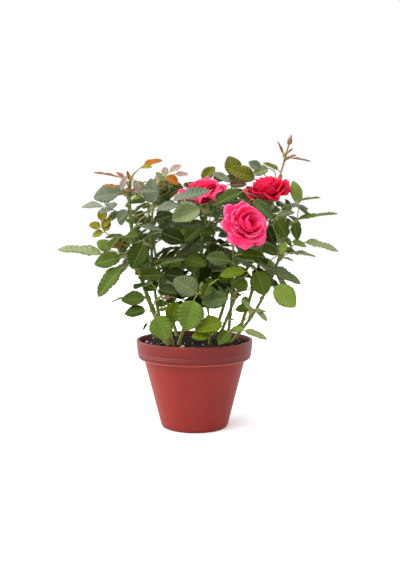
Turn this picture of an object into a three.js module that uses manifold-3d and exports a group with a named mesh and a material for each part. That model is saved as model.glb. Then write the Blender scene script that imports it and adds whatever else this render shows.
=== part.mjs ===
// A bush rose with three open blooms and one bud, growing in a round plastic pot.
// Millimetres, +Z up. The origin is the centre of the pot's flat underside, and -Y is the plant's front.
// Every cane is a tapered limb from a flat cut on the soil to the place where its leaves begin. The leafy
// rest of each cane, its twigs and leaflets, is one solid grown by a seeded rule, and so is each bloom.
import * as THREE from "three";
import { mergeVertices } from "three/addons/utils/BufferGeometryUtils.js";
import Module from "manifold-3d";

const wasm = await Module();
wasm.setup();

// ---- driving dimensions ----
const POT_HEIGHT = 98; // underside to the top of the rim
const RIM_RADIUS = 65; // outside of the collar at its top
const COLLAR_DEPTH = 20.8; // collar, from the rim down to its underside
const SHOULDER_RADIUS = 57; // wall just under the collar
const FOOT_RADIUS = 37; // wall at the underside
const WALL = 3.2;
const FLOOR = 3.6;
const SOIL_TOP = 96; // level soil round the canes
const SOIL_EDGE = 92; // soil where it meets the pot
const GAP = 0.3; // between one solid and the next
const CANE_TAPER = 0.5; // share of its radius that a cane loses on the way up
const LEAFLET_WIDTH = 0.84; // width of a leaflet as a share of its length
const YOUNG_WIDTH = 0.46; // the same for a young one
const FOLD = 0.25; // how far a blade's sides rise from its midrib, as a share of the half width
const CURL = 0.12; // how far its tip bends down, as a share of its length
const LEAFLET_THICK = 1.0; // at the middle of a blade
const PETIOLE = 0.48; // bare stalk below the first pair, as a share of the leaflet length
const STEP = 0.5; // stalk between pairs, as a share of the leaflet length
const STALK_RADIUS = 0.85;
const CLEAR = 3.4; // from a leaf to another cane's middle line or to a bloom
const MARGIN = 1.0; // from the face of one blade to another blade
const TWIG_SPACE = 2.2; // between two stalks

// ---- canes: where each stands, leans, climbs and ends; foot radius; where its leaves start and stop
// along it; how many; bearing of the first; leaflet length; seed ----
const CANES = [
  {
    name: "left", foot: [-27, -32], lean: [-50, -34, 140], climb: [-68, -34, 190], tip: [-70, -24, 262],
    radius: 2.9, first: 0.42, last: 0.97, leaves: 11, bearing: 200, blade: 30, seed: 11, young: true,
  },
  {
    name: "left_inner", foot: [-32, -20], lean: [-46, -12, 150], climb: [-52, 0, 200], tip: [-44, 12, 272],
    radius: 2.0, first: 0.42, last: 0.97, leaves: 11, bearing: 60, blade: 29, seed: 12, young: true,
  },
  {
    name: "bloom_left", foot: [-17, -34], lean: [-6, -26, 130], climb: [12, -4, 190], tip: [13, 4, 243],
    radius: 2.1, first: 0.42, last: 0.85, leaves: 8, bearing: 250, blade: 31, seed: 13,
  },
  {
    name: "bloom_front", foot: [36, -6], lean: [41, -14, 130], climb: [42, -28, 165], tip: [41, -42, 206],
    radius: 1.9, first: 0.42, last: 0.85, leaves: 7, bearing: 300, blade: 30, seed: 14,
  },
  {
    name: "bloom_right", foot: [46, 2], lean: [62, 2, 135], climb: [74, 2, 190], tip: [87, 0, 243],
    radius: 2.2, first: 0.42, last: 0.85, leaves: 8, bearing: 330, blade: 30, seed: 15,
  },
  {
    name: "bud", foot: [28, 22], lean: [50, 26, 150], climb: [86, 22, 235], tip: [105, 14, 314],
    radius: 1.9, first: 0.42, last: 0.7, leaves: 8, bearing: 20, blade: 29, seed: 16,
  },
  {
    name: "right", foot: [40, -16], lean: [70, -18, 130], climb: [84, -24, 160], tip: [98, -26, 214],
    radius: 1.9, first: 0.42, last: 0.97, leaves: 8, bearing: 0, blade: 30, seed: 17,
  },
  {
    name: "low_front", foot: [16, -34], lean: [18, -44, 115], climb: [16, -50, 135], tip: [8, -52, 165],
    radius: 1.5, first: 0.42, last: 0.97, leaves: 5, bearing: 240, blade: 28, seed: 18,
  },
  {
    name: "low_right", foot: [28, -30], lean: [34, -36, 108], climb: [44, -40, 116], tip: [58, -44, 128],
    radius: 1.3, first: 0.42, last: 0.9, leaves: 2, bearing: 200, blade: 20, seed: 19,
  },
  {
    name: "low_left", foot: [-22, -38], lean: [-26, -46, 120], climb: [-30, -48, 136],
    tip: [-34, -48, 150], radius: 1.3, first: 0.42, last: 0.97, leaves: 3, bearing: 240, blade: 28,
    seed: 25,
  },
  {
    name: "back_left", foot: [-20, 24], lean: [-36, 40, 150], climb: [-52, 54, 200], tip: [-56, 60, 252],
    radius: 2.1, first: 0.36, last: 0.97, leaves: 11, bearing: 120, blade: 30, seed: 20,
  },
  {
    name: "back_mid", foot: [2, 30], lean: [4, 48, 150], climb: [8, 56, 215], tip: [16, 50, 272],
    radius: 2.2, first: 0.36, last: 0.97, leaves: 11, bearing: 80, blade: 31, seed: 21,
  },
  {
    name: "back_right", foot: [22, 32], lean: [40, 50, 145], climb: [56, 60, 200], tip: [64, 58, 258],
    radius: 2.1, first: 0.36, last: 0.97, leaves: 11, bearing: 40, blade: 30, seed: 22,
  },
  {
    name: "middle", foot: [4, -4], lean: [6, -4, 140], climb: [16, 14, 200], tip: [34, 30, 262],
    radius: 2.1, first: 0.42, last: 0.97, leaves: 11, bearing: 180, blade: 31, seed: 23,
  },
];

// ---- blooms: centre, the way each faces, radius, and how far it has opened ----
const BLOOMS = [
  {
    name: "front", cane: "bloom_front", centre: [53, -62, 226], facing: [0.35, -0.85, 0.4], radius: 28,
    open: 1,
  },
  {
    name: "right", cane: "bloom_right", centre: [79.5, -10, 267], facing: [-0.18, -0.22, 0.96], radius: 27,
    open: -0.5,
  },
  {
    name: "left", cane: "bloom_left", centre: [7, -6, 265], facing: [-0.2, -0.24, 0.95], radius: 30,
    open: 0.7,
  },
];

// ---- leaves that stand out of the crown or show in front of it: cane, place along it, where the end
// leaflet's foot and tip are, how many leaflets, bearing and tilt of its upper face, its width as a share
// of its length ----
const REACHING = [
  ["left", 0.64, [-98, -26, 193], [-146, -22, 203], 1, 262, 18, 0.36],
  ["left", 0.68, [-90, -20, 197], [-105, -18, 207], 1, 262, 60, 0.8],
  ["left", 0.6, [-77, -36, 190], [-105, -38, 185], 1, 255, 58, 0.72],
  ["left", 0.53, [-76, -44, 180], [-103, -46, 152], 1, 245, 62, 0.55],
  ["left", 0.72, [-99, -30, 228], [-97, -30, 242], 5, 268, 55, 0.75],
  ["left", 0.66, [-73, -44, 204], [-90, -46, 206], 1, 262, 60, 0.75],
  ["left", 0.9, [-78, -40, 258], [-105, -40, 255], 1, 262, 62, 0.85],
  ["left", 0.94, [-74, -22, 258], [-93, -20, 265], 1, 262, 55, 0.8],
  ["left", 0.82, [-97, -28, 244], [-119, -28, 246], 3, 262, 18, 0.75],
  ["left", 1.0, [-78, -30, 275], [-105, -30, 283], 3, 262, 20, 0.24],
  ["left", 0.955, [-81, -46, 265], [-93, -46, 266], 1, 262, 45, 0.42],
  ["left", 0.98, [-70, -38, 276], [-76, -42, 262], 1, 262, 60, 0.45],
  ["left", 0.965, [-64, -34, 273], [-57, -38, 258], 1, 268, 60, 0.5],
  ["left", 0.975, [-69, -18, 271], [-72, -18, 282], 1, 270, 60, 0.35],
  ["left", 0.995, [-55, -22, 288], [-36, -22, 295], 1, 258, 45, 0.5],
  ["left", 0.985, [-57, -26, 285], [-46, -26, 287], 1, 262, 55, 0.6],
  ["left_inner", 1.0, [-28, 8, 283], [-16, 8, 291], 3, 262, 55, 0.7],
  ["left_inner", 0.98, [-22, 2, 280], [-8, 2, 281], 1, 262, 50, 0.5],
  ["left_inner", 0.96, [-33, -2, 272], [-41, -2, 282], 1, 262, 50, 0.6],
  ["left_inner", 0.94, [-30, -28, 277], [-18, -30, 269], 1, 262, 60, 0.8],
  ["left_inner", 0.88, [-45, -16, 247], [-47, -20, 273], 1, 262, 70, 0.72],
  ["left", 0.87, [-60, -44, 258], [-38, -46, 261], 1, 262, 25, 0.5],
  ["left_inner", 0.91, [-54, -4, 262], [-64, -4, 272], 1, 262, 50, 0.7],
  ["left_inner", 0.9, [-29, 16, 269], [-46, 16, 275], 1, 265, 60, 0.75],
  ["left_inner", 0.85, [-38, 10, 253], [-19, 14, 266], 1, 262, 60, 0.62],
  ["left", 0.85, [-23, -48, 250], [14, -54, 263], 1, 262, 50, 0.36],
  ["left", 0.78, [-40, -52, 240], [-15, -54, 247], 1, 262, 48, 0.5],
  ["bloom_left", 0.8, [7, -44, 242], [-22, -50, 232], 1, 262, 66, 0.92],
  ["left_inner", 0.75, [-46, -14, 229], [-22, -16, 237], 1, 262, 55, 0.5],
  ["left", 0.75, [-58, -42, 224], [-34, -44, 221], 1, 262, 40, 0.4],
  ["left_inner", 0.62, [-37, -30, 217], [-11, -34, 208], 1, 262, 60, 0.7],
  ["left", 0.83, [-70, -40, 241], [-80, -42, 230], 1, 262, 60, 0.8],
  ["left", 0.7, [-52, -50, 206], [-64, -56, 181], 1, 265, 70, 0.8],
  ["left_inner", 0.5, [-38, -40, 182], [-12, -42, 191], 1, 262, 15, 0.4],
  ["left", 0.28, [-51, -42, 147], [-76, -44, 147], 1, 262, 55, 0.7],
  ["left", 0.2, [-50, -48, 135], [-72, -50, 133], 1, 258, 52, 0.72],
  ["left", 0.36, [-73, -20, 147], [-91, -18, 143], 1, 262, 8, 0.25],
  ["left", 0.11, [-49, -42, 122], [-54, -44, 115], 1, 262, 30, 0.4],
  ["low_left", 0.7, [-40, -60, 131], [-28, -66, 108], 1, 262, 68, 0.95],
  ["low_left", 0.95, [-18, -54, 146], [-24, -58, 123], 1, 268, 60, 0.75],
  ["low_front", 0.9, [0, -62, 148], [-8, -70, 118], 1, 268, 64, 0.9],
  ["low_front", 1.0, [4, -60, 153], [-20, -56, 169], 1, 262, 62, 0.85],
  ["left", 0.48, [-58, -42, 171], [-33, -44, 173], 1, 262, 60, 0.72],
  ["bloom_left", 0.45, [-9, -38, 169], [-31, -40, 173], 1, 262, 60, 0.75],
  ["left_inner", 0.38, [-31, -26, 173], [-37, -28, 156], 1, 262, 50, 0.4],
  ["low_left", 1.0, [-42, -40, 141], [-30, -40, 142], 1, 262, 60, 0.9],
  ["bloom_front", 0.25, [30, -60, 124], [3, -68, 119], 1, 270, 52, 0.72],
  ["low_front", 0.3, [17, -62, 112], [-1, -68, 111], 1, 268, 60, 0.8],
  ["low_right", 0.35, [37, -58, 115], [26, -66, 104], 1, 268, 62, 0.9],
  ["bloom_front", 0.4, [35, -50, 149], [9, -54, 145], 1, 268, 58, 0.75],
  ["bloom_front", 0.3, [43, -30, 134], [62, -34, 136], 1, 268, 40, 0.6],
  ["bloom_front", 0.46, [56, -28, 149], [54, -30, 138], 1, 268, 60, 0.8],
  ["low_right", 0.2, [38, -50, 113], [51, -52, 117], 1, 268, 45, 0.8],
  ["low_right", 0.45, [52, -48, 114], [76, -52, 107], 1, 272, 40, 0.42],
  ["low_right", 1.0, [64, -44, 136], [77, -46, 125], 3, 270, 45, 0.42],
  ["bloom_front", 0.62, [54, -54, 177], [28, -56, 174], 1, 266, 48, 0.62],
  ["bloom_front", 0.52, [58, -44, 160], [42, -46, 162], 1, 268, 65, 0.85],
  ["bloom_front", 0.75, [38, -48, 187], [14, -50, 192], 1, 262, 60, 0.68],
  ["bloom_front", 0.87, [48, -48, 194], [73, -50, 193], 1, 266, 55, 0.5],
  ["bloom_right", 0.42, [66, -38, 177], [75, -42, 152], 1, 268, 72, 0.9],
  ["right", 0.62, [80, -34, 177], [115, -30, 165], 1, 262, 48, 0.48],
  ["right", 0.45, [84, -40, 160], [107, -44, 140], 1, 275, 58, 0.8],
  ["back_mid", 0.92, [48, 36, 279], [40, 38, 303], 1, 262, 62, 0.8],
  ["back_right", 1.0, [69, 24, 276], [40, 22, 289], 1, 262, 62, 0.6],
  ["back_mid", 0.98, [8, 40, 276], [22, 40, 291], 1, 262, 62, 0.7],
  ["middle", 0.98, [41, 20, 273], [22, 18, 284], 1, 262, 50, 0.45],
  ["bud", 0.74, [75, 16, 286], [62, 14, 295], 1, 262, 55, 0.8],
  ["bud", 0.79, [84, 10, 289], [67, 8, 283], 1, 262, 55, 0.75],
  ["bud", 0.83, [95, 18, 286], [79, 18, 295], 1, 262, 45, 0.45],
  ["middle", 0.95, [38, 12, 270], [57, 10, 271], 1, 262, 60, 0.6],
  ["bloom_right", 0.82, [51, -30, 260], [20, -34, 248], 1, 262, 56, 0.52],
  ["bloom_right", 0.78, [62, -30, 252], [84, -32, 232], 1, 262, 58, 0.5],
  ["right", 1.0, [115, -4, 247], [110, 0, 273], 1, 268, 60, 0.5],
  ["right", 0.98, [113, -10, 251], [136, -8, 257], 1, 262, 8, 0.45],
  ["right", 0.96, [98, -16, 246], [123, -14, 245], 1, 262, 20, 0.42],
  ["right", 0.93, [88, -32, 234], [105, -34, 239], 1, 262, 45, 0.6],
  ["right", 0.91, [109, -22, 230], [153, -18, 242], 1, 262, 12, 0.3],
  ["right", 0.99, [106, -32, 229], [110, -34, 210], 1, 262, 60, 0.6],
  ["right", 0.88, [86, -40, 231], [97, -44, 213], 1, 262, 60, 0.7],
  ["right", 0.8, [119, -18, 206], [157, -15, 200], 1, 266, 40, 0.42],
  ["right", 0.83, [104, -24, 207], [120, -24, 203], 1, 262, 40, 0.6],
  ["right", 0.74, [103, -26, 195], [130, -24, 194], 1, 262, 10, 0.4],
  ["right", 0.68, [88, -34, 192], [105, -36, 189], 1, 262, 15, 0.3],
  ["right", 0.84, [97, -40, 207], [91, -42, 195], 1, 262, 60, 0.7],
  ["bloom_right", 0.68, [78, -20, 224], [86, -24, 206], 1, 262, 60, 0.8],
  ["bloom_right", 0.6, [70, -34, 201], [88, -36, 195], 1, 262, 55, 0.7],
  ["bud", 0.92, [107, 12, 299], [129, 12, 298], 3, 262, 25, 0.28],
  ["bud", 0.96, [99, 12, 302], [94, 12, 317], 1, 262, 30, 0.22],
  ["bud", 0.94, [103, 14, 304], [109, 14, 310], 1, 262, 30, 0.22],
];

// ---- where the crown is open seen from the front: x, z and radius; no leaf of a spiral grows there ----
const OPEN = [
  [-97, 130, 19], [-66, 113, 9], [-69, 162, 6], [-122, 223, 13], [-110, 212, 7], [-81, 224, 5],
  [-40, 203, 6], [-88, 295, 12], [-60, 300, 12], [-35, 296, 8], [5, 300, 14], [76, 142, 8],
  [100, 116, 17], [126, 172, 12], [108, 184, 5], [132, 218, 9], [132, 268, 10], [76, 308, 12],
  [122, 310, 10], [-46, 112, 6], [57, 120, 8], [116, 152, 8], [103, 176, 6],
];

// ---- small geometry helpers ----
const v3 = (x, y, z) => new THREE.Vector3(x, y, z);
const moved = (p, d, s) => p.clone().addScaledVector(d, s);
const rad = THREE.MathUtils.degToRad;

// A number from 0 to 1 for each seed and turn, so that the rule always grows the same plant.
function draw(seed, n) {
  const s = Math.sin(seed * 12.9898 + n * 78.233) * 43758.5453;
  return s - Math.floor(s);
}

const spread = (seed, n, reach) => (2 * draw(seed, n) - 1) * reach;

// Unit vector for a bearing round the plant and a pitch above level, in degrees.
function heading(bearing, pitch) {
  const b = rad(bearing);
  const p = rad(pitch);
  return v3(Math.cos(b) * Math.cos(p), Math.sin(b) * Math.cos(p), Math.sin(p));
}

// Closed solid from points and triangles.
function solid(points, triangles) {
  const vertProperties = new Float32Array(points.flatMap((p) => [p.x, p.y, p.z]));
  const triVerts = new Uint32Array(triangles.flat());
  return new wasm.Manifold(new wasm.Mesh({ numProp: 3, vertProperties, triVerts }));
}

// Many solids fused in pairs; the largest body is kept and any sealed hollow in it is filled.
function fused(solids) {
  let round = solids;
  while (round.length > 1) {
    const next = [];
    for (let i = 0; i < round.length; i += 2)
      next.push(i + 1 < round.length ? round[i].add(round[i + 1]) : round[i]);
    round = next;
  }
  return round[0].decompose().reduce((a, b) => (b.volume() > a.volume() ? b : a));
}

// A solid turned about the Z axis from a profile of [radius, height] that starts and ends on the axis.
function turned(profile, sides) {
  const lathe = new THREE.LatheGeometry(profile.map(([r, z]) => new THREE.Vector2(r, z)), sides);
  lathe.rotateX(Math.PI / 2);
  lathe.deleteAttribute("normal");
  lathe.deleteAttribute("uv");
  const merged = mergeVertices(lathe, 1e-3);
  const position = merged.attributes.position;
  const points = Array.from({ length: position.count }, (_, i) => v3().fromBufferAttribute(position, i));
  const triangles = [];
  for (let i = 0; i < merged.index.count; i += 3) {
    const t = [merged.index.getX(i), merged.index.getX(i + 1), merged.index.getX(i + 2)];
    if (t[0] !== t[1] && t[1] !== t[2] && t[2] !== t[0]) triangles.push(t);
  }
  const made = solid(points, triangles);
  return made.volume() > 0 ? made : solid(points, triangles.map(([a, b, c]) => [a, c, b]));
}

// Tapering limb with flat ends: one ring of points round every place on the path, square to it, but
// level at the start when the limb is cut at the ground.
function limb(path, radii, sides, levelStart = false) {
  const points = [];
  let side = v3(1, 0.2, 0);
  path.forEach((p, i) => {
    const before = path[Math.max(i - 1, 0)];
    const after = path[Math.min(i + 1, path.length - 1)];
    const way = levelStart && i === 0 ? v3(0, 0, 1) : after.clone().sub(before).normalize();
    if (Math.abs(way.dot(side)) > 0.95 * side.length()) side = v3(0, 1, 0.3);
    side = moved(side, way, -side.dot(way)).normalize();
    const across = way.clone().cross(side);
    for (let k = 0; k < sides; k++) {
      const a = (2 * Math.PI * k) / sides;
      points.push(moved(moved(p, side, radii[i] * Math.cos(a)), across, radii[i] * Math.sin(a)));
    }
  });
  const triangles = [];
  for (let i = 0; i + 1 < path.length; i++)
    for (let k = 0; k < sides; k++) {
      const a = i * sides + k;
      const b = i * sides + ((k + 1) % sides);
      triangles.push([a, b, b + sides], [a, b + sides, a + sides]);
    }
  const end = (path.length - 1) * sides;
  for (let k = 1; k + 1 < sides; k++) triangles.push([0, k + 1, k], [end, end + k, end + k + 1]);
  return solid(points, triangles);
}

// ---- canes as curves ----
const curves = Object.fromEntries(
  CANES.map((c) => {
    const foot = v3(c.foot[0], c.foot[1], SOIL_TOP);
    return [c.name, new THREE.CubicBezierCurve3(foot, v3(...c.lean), v3(...c.climb), v3(...c.tip))];
  }),
);
const onCane = (c, t) => curves[c.name].getPoint(t);
const caneRadius = (c, t) => c.radius * (1 - CANE_TAPER * t);

// ---- leaves ----
// Level direction from the middle of the plant out through a point.
function outward(p) {
  const w = v3(p.x - 12, p.y, 0);
  const r = w.length();
  return r > 6 ? w.divideScalar(r) : v3(0, -1, 0);
}

// A blade's place: root, direction and upper face. A reaching leaf keeps its direction and turns its face
// as asked; any other turns its face up and outwards to the light and points as nearly along want.
function placed(root, want, tilt, seed, n0, length, width, facing) {
  if (facing !== undefined) {
    const asked = heading(facing + spread(seed, n0 + 12, 14), 90 - tilt + spread(seed, n0 + 11, 10));
    const face = moved(asked, want, -want.dot(asked)).normalize();
    return { root: moved(root, want, 1.2), way: want, face, length, width };
  }
  const lean = rad(tilt + spread(seed, n0 + 11, 16));
  const out = outward(moved(root, want, length * 0.5));
  const up = v3(0, 0, Math.cos(lean)).addScaledVector(out, Math.sin(lean));
  const face = up.addScaledVector(heading(360 * draw(seed, n0 + 12), 0), 0.28).normalize();
  const way = moved(want, face, -face.dot(want)).normalize();
  return { root: moved(root, way, 1.2), way, face, length, width };
}

// One compound leaf: a stalk that bends down evenly, leaflets in pairs along it and one at its end.
function spiralLeaf(base, bearing, rise, droop, size, count, tilt, seed, width) {
  const pairs = (count - 1) / 2;
  const legs = [size * PETIOLE, ...Array(pairs).fill(size * STEP)];
  const total = legs.reduce((a, b) => a + b, 0) + size;
  const stalk = [base];
  const blades = [];
  let p = base;
  let run = 0;
  legs.forEach((leg, i) => {
    for (let half = 0; half < 2; half++) {
      p = moved(p, heading(bearing, rise - (droop * (run + leg / 4)) / total), leg / 2);
      run += leg / 2;
      stalk.push(p);
    }
    if (i >= pairs) return;
    const share = pairs === 2 && i === 0 ? 0.72 : 0.88;
    for (const s of [-1, 1]) {
      const way = heading(bearing + s * (70 + spread(seed, 10 * i + s, 7)), rise - (droop * run) / total);
      const length = size * share * (1 + spread(seed, 20 * i + s + 3, 0.08));
      blades.push(placed(p, way, tilt, seed, 30 * i + s, length, width));
    }
  });
  const way = heading(bearing, rise - (droop * (run + size * 0.35)) / total);
  blades.push(placed(p, way, tilt, seed, 77, size, width));
  return { stalk, blades };
}

// A leaf whose end leaflet lies from foot to tip. Its stalk is a curve of second degree that arrives along
// that leaflet's way, and its pairs spread to both sides in the leaflet's own plane.
function reachingLeaf(base, foot, tip, count, facing, tilt, width, seed) {
  const pairs = (count - 1) / 2;
  const size = foot.distanceTo(tip);
  const way = tip.clone().sub(foot).divideScalar(size);
  const away = foot.distanceTo(base);
  const curve = new THREE.QuadraticBezierCurve3(base, moved(foot, way, -0.45 * away), foot);
  const leg = Math.min((STEP * size) / away, 0.6 / Math.max(pairs, 1));
  const start = 1 - pairs * leg;
  const end = placed(foot, way, tilt, seed, 77, size, width, facing);
  const stalk = [base, curve.getPoint(start / 2), curve.getPoint(start)];
  const blades = [];
  for (let i = 0; i < pairs; i++) {
    const t = start + leg * i;
    const along = curve.getPoint(t + 0.02).sub(curve.getPoint(t - 0.02)).normalize();
    const top = moved(end.face, along, -along.dot(end.face)).normalize();
    const side = along.clone().cross(top);
    for (const s of [-1, 1]) {
      const turn = rad(66 + spread(seed, 10 * i + s, 7));
      const length = size * 0.86 * (1 + spread(seed, 20 * i + s + 3, 0.08));
      const want = along.clone().multiplyScalar(Math.cos(turn)).addScaledVector(side, s * Math.sin(turn));
      blades.push(placed(curve.getPoint(t), want, tilt, seed, 30 * i + s, length, width, facing));
    }
    stalk.push(curve.getPoint(t + leg / 2), curve.getPoint(t + leg));
  }
  return { stalk, blades: [...blades, end] };
}

// A place on a blade: u from root to tip, s from -1 to 1 across; the sides fold up and the tip curls down.
function onBlade(b, u, s) {
  const half = (b.length * b.width) / 2;
  const side = b.way.clone().cross(b.face);
  const rise = Math.abs(s) * half * FOLD - CURL * b.length * u * u;
  return moved(moved(moved(b.root, b.way, b.length * u), side, half * s), b.face, rise);
}

// Half width of a rose leaflet at u: a rounded base, widest near the middle, a pointed tip.
const halfWidth = (u) => (u > 0 && u < 1 ? Math.sin(Math.PI * u ** 0.85) ** 0.65 : 0);

// The six corners and the middle of a faceted blade.
const CORNERS = [[0, 0], [0.18, -0.88], [0.64, -0.94], [1, 0], [0.64, 0.94], [0.18, 0.88]];
const corners = (b) => CORNERS.map(([u, s]) => onBlade(b, u, s));
const middle = (b) => moved(moved(b.root, b.way, b.length * 0.42), b.face, -CURL * b.length * 0.18);

// ---- clearance ----
const fan = (ring, mid) => ring.map((p, k) => [p, ring[(k + 1) % ring.length], mid]);

// Lines that stand for a blade: its outline and midrib at three heights, and pins through it.
function lines(b) {
  const ring = corners(b);
  const mid = middle(b);
  const at = (p, s) => moved(p, b.face, MARGIN * s);
  const out = [[at(mid, 1), at(mid, -1)]];
  for (const p of ring) {
    const in1 = p.clone().multiplyScalar(0.94).addScaledVector(mid, 0.06);
    const in2 = p.clone().add(mid).multiplyScalar(0.5);
    out.push([at(in1, 1), at(in1, -1)], [at(in2, 1), at(in2, -1)]);
  }
  for (const s of [1, 0, -1]) {
    ring.forEach((p, k) => out.push([at(p, s), at(ring[(k + 1) % ring.length], s)]));
    out.push([at(ring[0], s), at(mid, s)], [at(mid, s), at(ring[3], s)]);
  }
  return out;
}

// True when any line passes through any triangle.
function crossing(segments, triangles) {
  for (const [a, b, c] of triangles) {
    const e1 = b.clone().sub(a);
    const e2 = c.clone().sub(a);
    for (const [p, q] of segments) {
      const r = q.clone().sub(p);
      const h = r.clone().cross(e2);
      const det = e1.dot(h);
      if (Math.abs(det) < 1e-12) continue;
      const from = p.clone().sub(a);
      const u = from.dot(h) / det;
      if (u < 0 || u > 1) continue;
      const w = from.cross(e1);
      const s = r.dot(w) / det;
      const t = e2.dot(w) / det;
      if (s >= 0 && u + s <= 1 && t >= 0 && t <= 1) return true;
    }
  }
  return false;
}

const CANE_POINTS = CANES.map((c) => Array.from({ length: 60 }, (_, k) => onCane(c, k / 59)));

// Room each bloom needs: balls in its middle, behind it and round its rim.
const BLOOM_BALLS = BLOOMS.flatMap((b) => {
  const f = v3(...b.facing).normalize();
  const e = f.clone().cross(v3(0, 0, 1)).normalize();
  const g = e.clone().cross(f);
  const centre = v3(...b.centre);
  const rim = Array.from({ length: 10 }, (_, k) => {
    const a = (2 * Math.PI * k) / 10;
    const p = moved(moved(centre, e, b.radius * 0.66 * Math.cos(a)), g, b.radius * 0.66 * Math.sin(a));
    return [p, b.radius * 0.36];
  });
  const behind = moved(centre, f, -b.radius * 0.45);
  return [[moved(centre, f, 2), b.radius * 0.45], [behind, b.radius * 0.42], ...rim];
});

// True when a leaf of cane i has room: off the pot, the blooms, every cane and every leaf before it.
function hasRoom(leaf, i, grown, reaching) {
  const blade = leaf.blades.flatMap((b) =>
    Array.from({ length: 8 }, (_, r) => (r + 1) / 8).flatMap((u) =>
      [-1, -0.5, 0, 0.5, 1].map((s) => onBlade(b, u, s * halfWidth(u))),
    ),
  );
  if (blade.some((p) => p.z < 60 || (p.z < 99.4 && Math.hypot(p.x, p.y) < 67.5))) return false;
  const front = v3(...BLOOMS[0].centre);
  const all = [...blade, ...leaf.stalk.slice(2)];
  const hides = (p) => p.y < front.y && Math.hypot(p.x - front.x, p.z - front.z) < 26;
  if (!reaching && all.some(hides)) return false;
  const inOpen = (p) => OPEN.some(([x, z, r]) => Math.hypot(p.x - x, p.z - z) < r);
  if (!reaching && blade.some(inOpen)) return false;
  for (const p of all) {
    if (BLOOM_BALLS.some(([c, r]) => c.distanceTo(p) < CLEAR + r)) return false;
    const near = (c) => c.distanceTo(p) < CLEAR;
    if (CANE_POINTS.some((points, j) => j !== i && points.some(near))) return false;
  }
  if (blade.some((p) => CANE_POINTS[i].some((c) => c.distanceTo(p) < 2.5))) return false;
  const bare = leaf.stalk.slice(1);
  const between = (p, k) => [0, 0.25, 0.5, 0.75].map((s) => p.clone().lerp(bare[k + 1], s));
  leaf.twig = [...bare.slice(0, -1).flatMap(between), bare.at(-1)];
  const touches = (g) => leaf.twig.some((p) => g.twig.some((q) => p.distanceTo(q) < TWIG_SPACE));
  if (grown.some(touches)) return false;
  leaf.segments = leaf.blades.flatMap(lines);
  const free = leaf.stalk[0].clone().lerp(bare[0], Math.min(CLEAR / leaf.stalk[0].distanceTo(bare[0]), 1));
  [free, ...bare].slice(0, -1).forEach((p, k) => leaf.segments.push([p, bare[k]]));
  leaf.faces = leaf.blades.flatMap((b) => fan(corners(b), middle(b)));
  leaf.box = new THREE.Box3().setFromPoints([...leaf.segments.flat(), ...leaf.faces.flat()]);
  const meets = (g) => crossing(leaf.segments, g.faces) || crossing(g.segments, leaf.faces);
  return !grown.some((g) => g.box.intersectsBox(leaf.box) && meets(g));
}

// ---- growth ----
// The reaching leaves stand first, each at the first of seven depths where it has room; then a spiral of
// leaves climbs every cane, each leaf at the first of seven turns.
const grown = [];

function keepIfRoom(leaf, i, reaching) {
  const room = hasRoom(leaf, i, grown, reaching);
  if (room) grown.push({ ...leaf, cane: i });
  return room;
}

for (const [name, t, foot, tip, count, facing, tilt, width] of REACHING) {
  const i = CANES.findIndex((c) => c.name === name);
  [0, 4, -4, 8, -8, 13, -13].some((step, k) => {
    const ends = [foot, tip].map(([x, y, z]) => v3(x, y + step, z));
    const seed = i * 10 + t * 100 + 0.37 * k;
    const leaf = reachingLeaf(onCane(CANES[i], t), ...ends, count, facing, tilt, width, seed);
    return keepIfRoom(leaf, i, true);
  });
}

CANES.forEach((c, i) => {
  for (let k = 0; k < c.leaves; k++) {
    const t = c.first + ((c.last - c.first) * k) / Math.max(c.leaves - 1, 1);
    const seed = c.seed + k * 1.7;
    const young = c.young && t > 0.93;
    const size = c.blade * (1.1 - 0.26 * t) * (1 + spread(seed, 1, 0.1)) * (young ? 0.75 : 1);
    const rise = 8 + 34 * t + spread(seed, 2, 10);
    const droop = (78 - 48 * t) * (1 + spread(seed, 3, 0.25));
    const count = draw(seed, 4) > 0.35 && t < 0.9 ? 5 : 3;
    const bearing = c.bearing + 137.5 * k + spread(seed, 5, 22);
    const tilt = 62 - 38 * t + spread(seed, 7, 12);
    const width = young ? YOUNG_WIDTH : LEAFLET_WIDTH;
    [0, 25, -25, 50, -50, 80, -80].some((off, n) => {
      const up = rise + (n % 3) * 6;
      const leaf = spiralLeaf(onCane(c, t), bearing + off, up, droop, size, count, tilt, seed, width);
      return keepIfRoom(leaf, i, false);
    });
  }
});

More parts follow.
